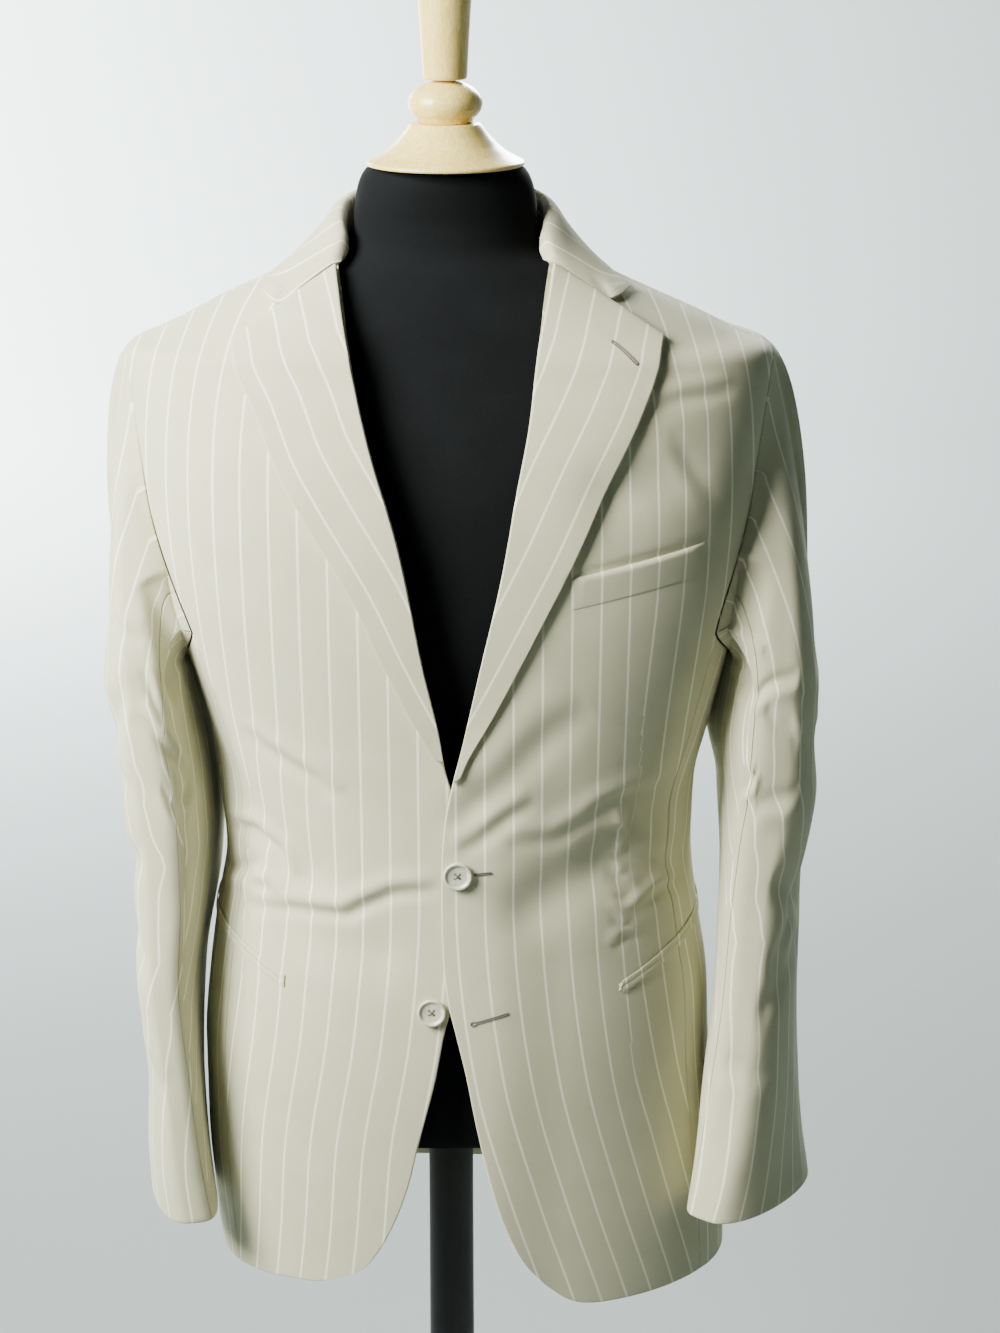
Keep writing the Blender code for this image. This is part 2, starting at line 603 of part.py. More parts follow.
def side_outline(side, hem):
    _, front_foot = armhole_outline(0.0, side)
    _, back_foot = armhole_outline(1.0, side)
    left = np.column_stack(seam_line(FRONT_SEAM_TURN, hem, float(front_foot), SEAM_ROWS, side))
    right = np.column_stack(seam_line(BACK_SEAM_TURN, hem, float(back_foot), SEAM_ROWS, side))
    share = np.linspace(0.0, 1.0, UNDERARM_COLUMNS + 1)
    top = np.column_stack(underarm_outline(share, side))
    bottom = left[0] + (right[0] - left[0]) * share[:, None]
    return coons(bottom, top, left, right)


def inset(grid, sides="lrbt"):
    """The grid with its outer rows and columns drawn in by half a seam gap."""
    grid = grid.copy()
    moved = grid.copy()
    if "l" in sides:
        moved[:, 0] += unit(grid[:, 1] - grid[:, 0]) * SEAM
    if "r" in sides:
        moved[:, -1] += unit(grid[:, -2] - grid[:, -1]) * SEAM
    if "b" in sides:
        moved[0] += unit(grid[1] - grid[0]) * SEAM
    if "t" in sides:
        moved[-1] += unit(grid[-2] - grid[-1]) * SEAM
    return moved


def material_named(name):
    found = bpy.data.materials.get(name)
    if found:
        return found
    colour, roughness, metallic = MATERIALS[name]
    made = bpy.data.materials.new(name)
    made.use_nodes = True
    shader = made.node_tree.nodes["Principled BSDF"]
    shader.inputs["Base Color"].default_value = colour
    shader.inputs["Roughness"].default_value = roughness
    shader.inputs["Metallic"].default_value = metallic
    return made


def add_object(name, mesh, material, home):
    item = bpy.data.objects.new(name, mesh)
    home.objects.link(item)
    mesh.materials.append(material_named(material))
    mesh.shade_smooth()
    mesh.set_sharp_from_angle(angle=math.radians(40))
    return item


def wall(name, outer, inner, material, home):
    """A cloth wall between two grids of points."""
    rows, columns = outer.shape[:2]
    points = [tuple(map(float, p)) for p in outer.reshape(-1, 3)]
    points += [tuple(map(float, p)) for p in inner.reshape(-1, 3)]
    half = rows * columns
    faces = []
    for row in range(rows - 1):
        for column in range(columns - 1):
            after = column + 1
            a, b = row * columns + column, row * columns + after
            c, d = b + columns, a + columns
            faces.append((a, b, c, d))
            faces.append((half + d, half + c, half + b, half + a))
    for column in range(columns - 1):
        after = column + 1
        low, high = 0, (rows - 1) * columns
        faces.append((half + column, half + after, low + after, low + column))
        faces.append((high + column, high + after, half + high + after, half + high + column))
    for row in range(rows - 1):
        first, last = row * columns, row * columns + columns - 1
        faces.append((first, first + columns, half + first + columns, half + first))
        faces.append((half + last, half + last + columns, last + columns, last))
    mesh = bpy.data.meshes.new(name)
    mesh.from_pydata(points, [], faces)
    shape = bmesh.new()
    shape.from_mesh(mesh)
    bmesh.ops.recalc_face_normals(shape, faces=shape.faces)
    if shape.calc_volume(signed=True) < 0:
        bmesh.ops.reverse_faces(shape, faces=shape.faces)
    shape.to_mesh(mesh)
    shape.free()
    return add_object(name, mesh, material, home)


def body_panel(name, outline, home, over=False):
    turn, height = outline[..., 0], outline[..., 1]
    lift = 0.0
    if over:
        place = ring_point(JACKET_CURVE, turn, height)
        lift = overlap_lift(place[..., 0], place[..., 2])
    outer = inset(cloth_point(turn, height, lift))
    inner = inset(cloth_point(turn, height, lift - WALL))
    return wall(name, outer, inner, "suiting", home)


def lapel(name, side, edge, roll, roll_low, home, over):
    """A lapel between its roll and its outer edge, ending at the gorge."""
    rows, columns = 14, 6
    roll = roll[:-1] + [EdgePoint(side * LAPEL_ROLL_TOP.x, LAPEL_ROLL_TOP.z)]
    roll_points = [point for point in roll if roll_low < point.z < GORGE_TOP]
    first = along(roll)(np.linspace(0, 1, 400))
    start = first[np.argmin(np.abs(first[:, 1] - roll_low))]
    end = first[np.argmin(np.abs(first[:, 1] - GORGE_TOP))]
    inside = [EdgePoint(*start)] + roll_points + [EdgePoint(*end)]
    share = np.linspace(0.0, 1.0, rows + 1)
    roll_side = along(inside)(share)
    edge_side = along(edge)(share)
    part = np.linspace(0.0, 1.0, columns + 1)[None, :, None]
    flat = roll_side[:, None] * (1 - part) + edge_side[:, None] * part
    turn = turn_of_x(flat[..., 0], flat[..., 1])
    lift = overlap_lift(flat[..., 0], flat[..., 1]) if over else 0.0
    clear = lift + LAY + LAPEL_PROUD * share[:, None] * np.ones(columns + 1)
    outer = inset(cloth_point(turn, flat[..., 1], clear + LAPEL_WALL))
    inner = inset(cloth_point(turn, flat[..., 1], clear))
    return wall(name, outer, inner, "suiting", home)


def pushed_out(points, side):
    """Points moved away from the neck's axis until they clear the shoulder's cloth."""
    moved = []
    for point in points:
        height = float(point[2])
        right, left, front, back, squareness = JACKET_CURVE(np.float64(height))
        width = left if side > 0 else right
        depth = front if point[1] < 0 else back
        reach = abs(point[0] / width) ** squareness + abs(point[1] / depth) ** squareness
        reach = reach ** (1 / squareness)
        across = abs(point[0] / width / reach) ** (squareness / 2)
        turn = side * math.asin(min(across, 1.0))
        turn = turn if point[1] < 0 else side * math.pi - turn
        level = math.hypot(*body_normal(np.float64(turn), np.float64(height))[:2])
        spread = math.hypot(point[0], point[1])
        need = 1.0 + FALL_OUT / max(level, 0.3) / spread
        scale = max(1.0, need / reach)
        moved.append(np.array([point[0] * scale, point[1] * scale, height]))
    return moved


def gorge_height(x, side):
    """Height of the gorge seam at a distance from the centre, from the roll to the lapel's tip."""
    edge = LEFT_LAPEL if side > 0 else RIGHT_LAPEL
    start, tip = LAPEL_ROLL_TOP.x, edge[-1]
    return GORGE_TOP + (tip.z - GORGE_TOP) * (x - start) / (abs(tip.x) - start)


def collar_end(side):
    """The fall's points along the gorge seam and out to the collar's tip."""
    places = [(side * x, gorge_height(x, side) + GORGE_GAP, out) for x, out in COLLAR_END]
    places.append((side * COLLAR_TIP.x, COLLAR_TIP.z, FALL_OUT))
    return [cloth_point(turn_of_x(x, z), z, out) for x, z, out in places]


def collar_station(row, side, end_share):
    """Seven points across the collar, from the stand's foot over the roll to the outer edge."""
    neck_turn, neck_height, rise, edge_turn, edge_height = row
    foot = ring_point(JACKET_CURVE, side * math.radians(neck_turn), np.float64(neck_height))
    away = unit(np.array([foot[0], foot[1], 0.0]))
    up = np.array([0.0, 0.0, 1.0])
    low = foot - away * STAND_INSET - up * STAND_DROP
    roll_in = foot - away * STAND_INSET + up * max(rise - ROLL_IN_BELOW, 0.0)
    roll_top = foot + away * ROLL_TOP_AT[0] + up * (rise + ROLL_TOP_AT[1])
    roll_out = foot + away * ROLL_OUT_AT[0] + up * (rise + ROLL_OUT_AT[1])
    edge = cloth_point(side * math.radians(edge_turn), edge_height, FALL_OUT)
    near = roll_out + (edge - roll_out) * FALL_SHARES[0]
    far = roll_out + (edge - roll_out) * FALL_SHARES[1]
    upper = [roll_in, roll_top, roll_out] + pushed_out([near, far], side) + [edge]
    if end_share > 0:
        upper = [a * (1 - end_share) + b * end_share for a, b in zip(upper, collar_end(side))]
    return [low] + upper


def collar(name, home):
    rows = Curve([(float(index), *row) for index, row in enumerate(COLLAR)])
    half = COLLAR_COLUMNS // 2
    stations = []
    for side, places in ((1, np.linspace(0.0, 1.0, half + 1)), (-1, np.linspace(1.0, 0.0, half + 1)[1:])):
        for place in places:
            at = place * (len(COLLAR) - 1)
            stations.append(collar_station(rows(np.float64(at)), side, max(0.0, 1.0 - at)))
    fine = np.array(stations, float)
    across = np.gradient(fine, axis=1)
    length = np.gradient(fine, axis=0)
    normal = unit(np.cross(length, across))
    if np.sum(normal[:, -1] * np.array([0.0, 0.0, 1.0])) < 0:
        normal = -normal
    return wall(name, fine, fine - normal * COLLAR_WALL, "suiting", home)


def armhole_ring(side):
    """Turns and heights round the armhole: up the front, down the back, then under the arm to the front."""
    front = armhole_outline(np.linspace(0.0, 0.5, ARMHOLE_ROWS + 1), side)
    back = armhole_outline(np.linspace(0.5, 1.0, ARMHOLE_ROWS + 1), side)
    under = underarm_outline(np.linspace(1.0, 0.0, UNDERARM_COLUMNS + 1), side)
    ring = join_outline(front, back, under)
    return ring[:-1]


def sleeve_section(ring, angles, side):
    """Points of one sleeve ring. Angle 0 is its front and 90 degrees its outer side."""
    height, x, y, half_long, half_thin, heading = ring
    heading = math.radians(heading) * side
    at_edge = (np.cos(angles) > 0.0) & (np.sin(angles) < 0.0)
    power = 2.0 / np.where(at_edge, SLEEVE_EDGE_SQUARENESS, SLEEVE_SQUARENESS)
    ahead = np.sign(np.cos(angles)) * np.abs(np.cos(angles)) ** power * half_long
    out = np.sign(np.sin(angles)) * np.abs(np.sin(angles)) ** power * half_thin * side
    px = x - ahead * math.sin(heading) + out * math.cos(heading)
    py = y - ahead * math.cos(heading) - out * math.sin(heading)
    return np.column_stack([px, py, np.full(len(angles), height)])


def sleeve_grid(side, table, folds):
    """Outer points, inner points and ring angles of the whole sleeve, from the armhole to the cuff."""
    ring = armhole_ring(side)
    sewn = cloth_point(ring[:, 0], ring[:, 1], 0.0)
    normal = body_normal(ring[:, 0], ring[:, 1])
    along_edge = unit(np.roll(sewn, -1, axis=0) - np.roll(sewn, 1, axis=0))
    into_hole = unit(np.cross(normal, along_edge))
    middle = sewn.mean(axis=0)
    into_hole *= np.sign(np.sum(into_hole * (middle - sewn), axis=1))[:, None]
    half_high = 0.5 * (sewn[:, 2].max() - sewn[:, 2].min())
    half_deep = 0.5 * (sewn[:, 1].max() - sewn[:, 1].min())
    centre_z = 0.5 * (sewn[:, 2].max() + sewn[:, 2].min())
    centre_y = 0.5 * (sewn[:, 1].max() + sewn[:, 1].min())
    angles = np.arctan2((sewn[:, 2] - centre_z) / half_high, -(sewn[:, 1] - centre_y) / half_deep)
    angles = np.unwrap(angles)
    lean = np.radians(70.0 - 70.0 * np.sin(angles))
    leave = np.cos(lean)[:, None] * into_hole + np.sin(lean)[:, None] * normal
    inside = np.sin(lean)[:, None] * into_hole - np.cos(lean)[:, None] * normal
    start = sewn + into_hole * SEAM * 2.0
    curve = Curve(sorted(table))
    top = table[0]
    arm = sleeve_section(top, angles, side)
    span = np.linalg.norm(arm - start, axis=1)[:, None]
    outer_share = np.clip(np.sin(angles), 0.0, 1.0)[:, None]
    rise = HEAD_RISE + (HEAD_RISE_OUTER - HEAD_RISE) * outer_share
    keep = HEAD_LEAVE + (HEAD_LEAVE_OUTER - HEAD_LEAVE) * outer_share
    lean_in = np.array([-side * HEAD_LEAN, 0.0, 0.0]) * outer_share
    rows = [start]
    for share in np.linspace(0.0, 1.0, CAP_ROWS + 1)[1:]:
        first = start + leave * span * keep
        second = arm + np.array([0.0, 0.0, 1.0]) * span * rise + lean_in
        rows.append(
            start * (1 - share) ** 3
            + first * 3 * share * (1 - share) ** 2
            + second * 3 * share**2 * (1 - share)
            + arm * share**3
        )
    for height in np.linspace(top.height, table[-1].height, ARM_ROWS + 1)[1:]:
        values = curve(height)
        rows.append(sleeve_section((height, *values), angles, side))
    grid = np.array(rows)
    around = np.roll(grid, -1, axis=1) - np.roll(grid, 1, axis=1)
    down = np.gradient(grid, axis=0)
    face = unit(np.cross(around, down))
    axis_line = grid.mean(axis=1, keepdims=True)
    if np.sum(face[CAP_ROWS:] * (grid - axis_line)[CAP_ROWS:]) < 0:
        face = -face
    face[0] = -inside
    degrees = np.degrees(angles)[None] * FOLD_DEGREE * np.ones((len(grid), 1))
    scaled = [fold._replace(x=fold.x * FOLD_DEGREE, to_x=fold.to_x * FOLD_DEGREE) for fold in folds]
    sunk = fold_depth(scaled, degrees, grid[..., 2])
    sunk[0] = 0.0
    outer = grid - face * sunk[..., None]
    return outer, outer - face * SLEEVE_WALL


def sleeve(names, side, table, folds, home):
    """The top sleeve and the under sleeve of one arm."""
    outer, inner = sleeve_grid(side, table, folds)
    count = outer.shape[1]
    front_seam, back_seam = 1, 2 * ARMHOLE_ROWS - 2
    upper = list(range(front_seam, back_seam + 1))
    lower = list(range(back_seam, count)) + list(range(0, front_seam + 1))
    for name, columns in zip(names, (upper, lower)):
        wall(name, inset(outer[:, columns], "lr"), inset(inner[:, columns], "lr"), "suiting", home)


def slit_strip(name, slit, side, low, high, home):
    """One jet: a narrow strip along a pocket's mouth."""
    share = np.linspace(0.0, 1.0, 13)
    turn = np.radians(slit.turn + (slit.to_turn - slit.turn) * share) * side
    height = slit.height + (slit.to_height - slit.height) * share
    height = height + slit.bow * np.sin(math.pi * share)
    rise = np.array([low, high])[:, None]
    turns = np.broadcast_to(turn, (2, len(share)))
    heights = height[None] + rise
    inner = cloth_point(turns, heights, JET_CLEARANCE)
    outer = cloth_point(turns, heights, JET_CLEARANCE + JET_WALL)
    return wall(name, outer, inner, "suiting", home)


def breast_welt(name, home):
    share = np.linspace(0.0, 1.0, 7)
    start, end = WELT_LOW
    x = start.x + (end.x - start.x) * share
    low = start.z + (end.z - start.z) * share
    xs = np.stack([x, x, x])
    zs = np.stack([low, low + 0.5 * WELT_HEIGHT, low + WELT_HEIGHT])
    turn = turn_of_x(xs, zs)
    inner = cloth_point(turn, zs, LAY)
    outer = cloth_point(turn, zs, LAY + WELT_WALL)
    return wall(name, outer, inner, "suiting", home)


def turned(name, profile, material, home, steps=TURN_STEPS):
    """A turned piece. The profile's (radius, height) points run down its outer side."""
    mesh = bpy.data.meshes.new(name)
    points = [(radius, 0.0, height) for radius, height in profile]
    edges = [(i, i + 1) for i in range(len(points) - 1)]
    mesh.from_pydata(points, edges, [])
    item = add_object(name, mesh, material, home)
    screw = item.modifiers.new("Turn", "SCREW")
    screw.axis = "Z"
    screw.steps = steps
    screw.render_steps = steps
    screw.use_merge_vertices = True
    screw.merge_threshold = 0.00001
    screw.use_smooth_shade = True
    return item


def button(name, place, lift, home):
    r, thick, rim = BUTTON_RADIUS, BUTTON_THICK, BUTTON_RIM
    profile = [(r - rim * inset_share, thick * level) for inset_share, level in BUTTON_PROFILE]
    profile = [(0.0, profile[0][1])] + profile + [(0.0, 0.0)]
    item = turned(name, profile, "horn", home, 24)
    turn = turn_of_x(place.x, place.z)
    normal = Vector(body_normal(turn, np.float64(place.z)))
    spot = Vector(cloth_point(turn, np.float64(place.z), lift))
    facing = Vector((0.0, 0.0, 1.0)).rotation_difference(normal).to_matrix().to_4x4()
    item.matrix_world = Matrix.Translation(spot) @ facing
    return item


def form_torso(name, home):
    """The covered body and neck of the form, one closed solid."""
    columns = FORM_COLUMNS
    heights = [TORSO_LOW] + FORM_HEIGHTS + [NECK_TOP]
    turns = np.linspace(0.0, 2 * math.pi, columns, endpoint=False)
    turns = np.where(turns > math.pi, turns - 2 * math.pi, turns)
    rings = np.array([ring_point(FORM_CURVE, turns, np.full(columns, h)) for h in heights])
    rounding = np.array(FORM_LOW_SHARES + [1.0] * (len(heights) - 2))[:, None]
    rings[..., 0] *= rounding
    rings[..., 1] *= rounding
    points = [tuple(map(float, p)) for p in rings.reshape(-1, 3)]
    faces = []
    for row in range(len(heights) - 1):
        for column in range(columns):
            after = (column + 1) % columns
            a, b = row * columns + column, row * columns + after
            faces.append((a, b, b + columns, a + columns))
    faces.append(tuple(range(columns - 1, -1, -1)))
    faces.append(tuple((len(heights) - 1) * columns + column for column in range(columns)))
    mesh = bpy.data.meshes.new(name)
    mesh.from_pydata(points, [], faces)
    shape = bmesh.new()
    shape.from_mesh(mesh)
    bmesh.ops.recalc_face_normals(shape, faces=shape.faces)
    if shape.calc_volume(signed=True) < 0:
        bmesh.ops.reverse_faces(shape, faces=shape.faces)
    shape.to_mesh(mesh)
    shape.free()
    return add_object(name, mesh, "jersey", home)


def arc(radius, height, bulge_radius, bulge_height, start, end, count):
    """Points of an elliptic arc, angles in degrees from the outer side upwards."""
    angles = np.radians(np.linspace(start, end, count))
    return [
        (radius + bulge_radius * math.cos(angle), height + bulge_height * math.sin(angle))
        for angle in angles
    ]


def raised(profile, low):
    return [(radius, low + height) for radius, height in profile]


def stand(home):
    cap_low = NECK_TOP + TOUCH
    turned("neck_cap", raised(CAP_PROFILE, cap_low), "wood", home)
    knob_low = cap_low + CAP_PROFILE[0][1] + TOUCH
    knob = [(0.0, KNOB_HEIGHT)] + arc(0.0, KNOB_MIDDLE, *KNOB_BULGE, *KNOB_ARC) + KNOB_FOOT
    turned("cap_knob", raised(knob, knob_low), "wood", home)
    post_low = knob_low + KNOB_HEIGHT + TOUCH
    post = [(0.0, FINIAL_TOP)] + arc(0.0, FINIAL_TOP - FINIAL_BULGE[1], *FINIAL_BULGE, *FINIAL_ARC)
    post += FINIAL_SIDE + raised(FINIAL_FOOT, post_low)
    turned("finial_post", post, "wood", home)
    pole_low = BASE_PROFILE[0][1] + TOUCH
    pole_top = TORSO_LOW - TOUCH
    pole = [(0.0, pole_top), (POLE_TOP_RADIUS, pole_top), (POLE_LOW_RADIUS, pole_low), (0.0, pole_low)]
    turned("stand_pole", pole, "enamel", home)
    turned("stand_base", BASE_PROFILE, "enamel", home, BASE_STEPS)


def build():
    clear_scene()
    home = bpy.data.collections.new("suit_jacket_on_form")
    bpy.context.scene.collection.children.link(home)
    body_panel("front_left", front_outline(1, LEFT_EDGE, LEFT_HEM_CORNER, HEM_LEFT), home, over=True)
    body_panel("front_right", front_outline(-1, RIGHT_EDGE, RIGHT_HEM_CORNER, HEM_RIGHT), home)
    for side, label, hem in ((1, "left", HEM_LEFT), (-1, "right", HEM_RIGHT)):
        body_panel("side_" + label, side_outline(side, hem), home)
        body_panel("back_" + label, back_outline(side, hem), home)
    sleeve(("top_sleeve_left", "under_sleeve_left"), 1, LEFT_SLEEVE, SLEEVE_FOLDS_LEFT, home)
    sleeve(("top_sleeve_right", "under_sleeve_right"), -1, RIGHT_SLEEVE, SLEEVE_FOLDS_RIGHT, home)
    lapel("lapel_left", 1, LEFT_LAPEL, LEFT_EDGE, LAPEL_LOW_LEFT, home, True)
    lapel("lapel_right", -1, RIGHT_LAPEL, RIGHT_EDGE, LAPEL_LOW_RIGHT, home, False)
    collar("collar", home)
    breast_welt("breast_welt", home)
    for side, label, slit in ((1, "left", POCKET_LEFT), (-1, "right", POCKET_RIGHT)):
        slit_strip("pocket_jet_upper_" + label, slit, side, SEAM, JET_WIDTH, home)
        slit_strip("pocket_jet_lower_" + label, slit, side, -JET_WIDTH, -SEAM, home)
    button("button_upper", BUTTON_UPPER, OVERLAP_LIFT + TOUCH, home)
    button("button_lower", BUTTON_LOWER, TOUCH, home)
    form_torso("form_torso", home)
    stand(home)


build()
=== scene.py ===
"""The looks of a two-button pinstripe suit jacket on a limbless dress form with a pole and a round base.

Metres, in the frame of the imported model: the front faces -Y and the wearer's left is +X. Every cloth panel
is built again from the same rings, outlines and seams as its CAD solid, with more rows, finer creases and
stripes that follow the cut.
"""

import math
from collections import namedtuple

import bmesh
import bpy
import numpy as np
from mathutils import Matrix, Vector


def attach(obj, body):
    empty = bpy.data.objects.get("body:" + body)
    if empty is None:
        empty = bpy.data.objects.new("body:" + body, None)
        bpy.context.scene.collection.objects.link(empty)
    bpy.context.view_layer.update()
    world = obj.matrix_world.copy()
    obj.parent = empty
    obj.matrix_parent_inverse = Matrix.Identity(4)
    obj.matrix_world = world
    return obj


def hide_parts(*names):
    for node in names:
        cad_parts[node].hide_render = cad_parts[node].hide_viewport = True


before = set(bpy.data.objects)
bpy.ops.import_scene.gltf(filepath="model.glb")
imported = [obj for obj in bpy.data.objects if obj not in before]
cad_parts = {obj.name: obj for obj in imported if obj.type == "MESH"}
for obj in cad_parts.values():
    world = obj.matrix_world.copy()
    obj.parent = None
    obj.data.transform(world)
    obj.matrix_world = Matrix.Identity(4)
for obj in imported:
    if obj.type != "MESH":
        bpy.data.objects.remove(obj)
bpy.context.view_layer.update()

# Driving dimensions
WALL = 0.0020  # cloth of the body panels
SLEEVE_WALL = 0.0018
LAPEL_WALL = 0.0025  # two layers and canvas
COLLAR_WALL = 0.0025
SEAM = 0.00015  # half of the gap between two sewn pieces
LAY = 0.0008  # clearance of a piece that lies on a panel
OVERLAP_LIFT = 0.0042  # how far the left front stands out where it covers the right one
OVERLAP_FADE = 0.055  # width over which that lift fades
OVERLAP_BESIDE = 0.030  # X from which it fades
OVERLAP_ABOVE = 1.075  # height from which it fades
TOUCH = 0.0003  # gap between pieces that stand on each other

SEAM_ROWS = 180  # rows of points along a side seam
ARMHOLE_ROWS = 96  # rows along the armhole's front, and along its back
UNDERARM_COLUMNS = 50
SHOULDER_COLUMNS = 56
NECK_COLUMNS_FRONT = 14
NECK_COLUMNS_BACK = 22

SHOULDER_TIP = 1.372
NECK_POINT = 1.4475
BACK_NECK = 1.449
HEM_LEFT = 0.666
HEM_RIGHT = 0.674
HEM_BACK = 0.668
FRONT_SEAM_TURN = 62.0  # degrees round the body from the centre front
BACK_SEAM_TURN = 121.0
ARMHOLE_FRONT = -0.058  # the armhole's reach in Y
ARMHOLE_BACK = 0.076
ARMHOLE_LOW = 1.152
ARMHOLE_FRONT_FOOT = 1.176  # heights where the side seams meet the armhole
ARMHOLE_BACK_FOOT = 1.190
ARMHOLE_HEIGHT_POWER = 1.15  # the armhole's curve, in height, in Y and under the arm
ARMHOLE_DEPTH_POWER = 0.75
UNDERARM_POWER = 0.8
ARMHOLE_BLEND = 0.35  # share of its side over which it bends into the side seam

BASE_RADIUS = 0.19
POLE_LOW_RADIUS = 0.0185
POLE_TOP_RADIUS = 0.0170
TORSO_LOW = 0.785
NECK_TOP = 1.4955
TURN_STEPS = 96  # steps round a turned piece, and round a button
BUTTON_STEPS = 64

# Turned pieces, as radius and height. The cap, the knob and the finial's foot start at their own undersides.
CAP_PROFILE = [
    (0.0, 0.0290),
    (0.0240, 0.0290),
    (0.0255, 0.0275),
    (0.0300, 0.0215),
    (0.0370, 0.0140),
    (0.0450, 0.0080),
    (0.0525, 0.0042),
    (0.0550, 0.0030),
    (0.0556, 0.0015),
    (0.0550, 0.0),
    (0.0, 0.0),
]
KNOB_HEIGHT = 0.0290
KNOB_MIDDLE = 0.0130
KNOB_BULGE = (0.0260, 0.0160)
KNOB_ARC = (85, -38, 40)  # degrees at the start and at the end, and points
KNOB_FOOT = [(0.0195, 0.0), (0.0, 0.0)]
FINIAL_TOP = 1.6600
FINIAL_BULGE = (0.0195, 0.0150)
FINIAL_ARC = (85, 0, 24)
FINIAL_SIDE = [(0.0185, 1.6080), (0.0170, 1.5850)]
FINIAL_FOOT = [(0.0155, 0.0030), (0.0150, 0.0), (0.0, 0.0)]
BASE_PROFILE = [
    (0.0, 0.0520),
    (0.0250, 0.0520),
    (0.0280, 0.0490),
    (0.0290, 0.0350),
    (0.0380, 0.0240),
    (0.0700, 0.0190),
    (BASE_RADIUS - 0.0200, 0.0150),
    (BASE_RADIUS - 0.0040, 0.0120),
    (BASE_RADIUS, 0.0070),
    (BASE_RADIUS, 0.0),
    (0.0, 0.0),
]
# How far from each corner of a turned profile its rounding starts.
CAP_ROUNDING = 0.0030
FINIAL_ROUNDING = 0.0015
POLE_ROUNDING = 0.0010
BASE_ROUNDING = 0.0030
BUTTON_ROUNDING = 0.0006
ROUNDING_STEPS = 4
ROUNDING_LIMIT = 0.45  # most that a rounding takes of a profile's straight stretch

# Half widths and depths of the jacket's outer face at each height. Squareness 2 is an ellipse.
Ring = namedtuple("Ring", "height right left front back squareness")
JACKET = [
    Ring(0.640, 0.176, 0.213, 0.118, 0.126, 2.3),
    Ring(0.700, 0.181, 0.211, 0.120, 0.128, 2.3),
    Ring(0.778, 0.186, 0.203, 0.122, 0.130, 2.3),
    Ring(0.842, 0.186, 0.197, 0.123, 0.129, 2.3),
    Ring(0.900, 0.181, 0.194, 0.121, 0.123, 2.3),
    Ring(0.950, 0.174, 0.186, 0.118, 0.113, 2.3),
    Ring(1.000, 0.166, 0.181, 0.116, 0.104, 2.3),
    Ring(1.050, 0.171, 0.182, 0.116, 0.101, 2.35),
    Ring(1.100, 0.176, 0.193, 0.119, 0.105, 2.45),
    Ring(1.150, 0.189, 0.204, 0.123, 0.113, 2.6),
    Ring(1.200, 0.204, 0.213, 0.125, 0.121, 2.75),
    Ring(1.250, 0.214, 0.220, 0.124, 0.126, 2.8),
    Ring(1.300, 0.221, 0.226, 0.117, 0.126, 2.75),
    Ring(1.340, 0.226, 0.231, 0.105, 0.119, 2.6),
    Ring(1.362, 0.228, 0.233, 0.096, 0.112, 2.45),
    Ring(1.372, 0.224, 0.228, 0.092, 0.108, 2.4),
    Ring(1.380, 0.206, 0.206, 0.087, 0.104, 2.3),
    Ring(1.393, 0.180, 0.179, 0.079, 0.098, 2.2),
    Ring(1.406, 0.155, 0.150, 0.071, 0.090, 2.15),
    Ring(1.420, 0.124, 0.120, 0.063, 0.081, 2.1),
    Ring(1.435, 0.095, 0.092, 0.056, 0.069, 2.1),
    Ring(1.449, 0.0735, 0.0725, 0.050, 0.0605, 2.1),
    Ring(1.460, 0.071, 0.070, 0.049, 0.0585, 2.1),
]

FORM = [
    Ring(0.785, 0.164, 0.166, 0.100, 0.106, 2.2),
    Ring(0.850, 0.166, 0.170, 0.102, 0.110, 2.2),
    Ring(0.920, 0.158, 0.163, 0.101, 0.103, 2.2),
    Ring(1.000, 0.146, 0.152, 0.099, 0.088, 2.2),
    Ring(1.060, 0.147, 0.151, 0.098, 0.085, 2.2),
    Ring(1.130, 0.160, 0.163, 0.102, 0.094, 2.3),
    Ring(1.200, 0.176, 0.178, 0.106, 0.103, 2.4),
    Ring(1.270, 0.186, 0.187, 0.104, 0.108, 2.4),
    Ring(1.320, 0.189, 0.190, 0.094, 0.104, 2.3),
    Ring(1.352, 0.187, 0.188, 0.082, 0.095, 2.2),
    Ring(1.375, 0.180, 0.179, 0.073, 0.087, 2.1),
    Ring(1.3897, 0.170, 0.168, 0.068, 0.081, 2.1),
    Ring(1.4007, 0.157, 0.153, 0.063, 0.077, 2.1),
    Ring(1.4127, 0.131, 0.127, 0.057, 0.070, 2.1),
    Ring(1.4257, 0.101, 0.098, 0.051, 0.062, 2.1),
    Ring(1.436, 0.0745, 0.0735, 0.045, 0.053, 2.1),
    Ring(1.446, 0.0655, 0.0650, 0.043, 0.049, 2.1),
    Ring(1.457, 0.0645, 0.0640, 0.043, 0.049, 2.1),
    Ring(1.471, 0.0635, 0.0635, 0.045, 0.049, 2.1),
    Ring(1.486, 0.0600, 0.0600, 0.047, 0.050, 2.05),
    Ring(1.493, 0.0560, 0.0560, 0.045, 0.048, 2.0),
    Ring(1.4955, 0.0530, 0.0530, 0.043, 0.046, 2.0),
]
FORM_COLUMNS = 128
# Its rings of points crowd at the shoulders and at the neck's rim.
FORM_HEIGHTS = [
    *np.linspace(TORSO_LOW, 1.345, 90),
    *np.linspace(1.3455, 1.487, 60),
    1.490,
    1.493,
    NECK_TOP,
]
FORM_FOOT = 0.045  # height over which its lower rim rounds inwards, to this share of its width
FORM_FOOT_SHARE = 0.94

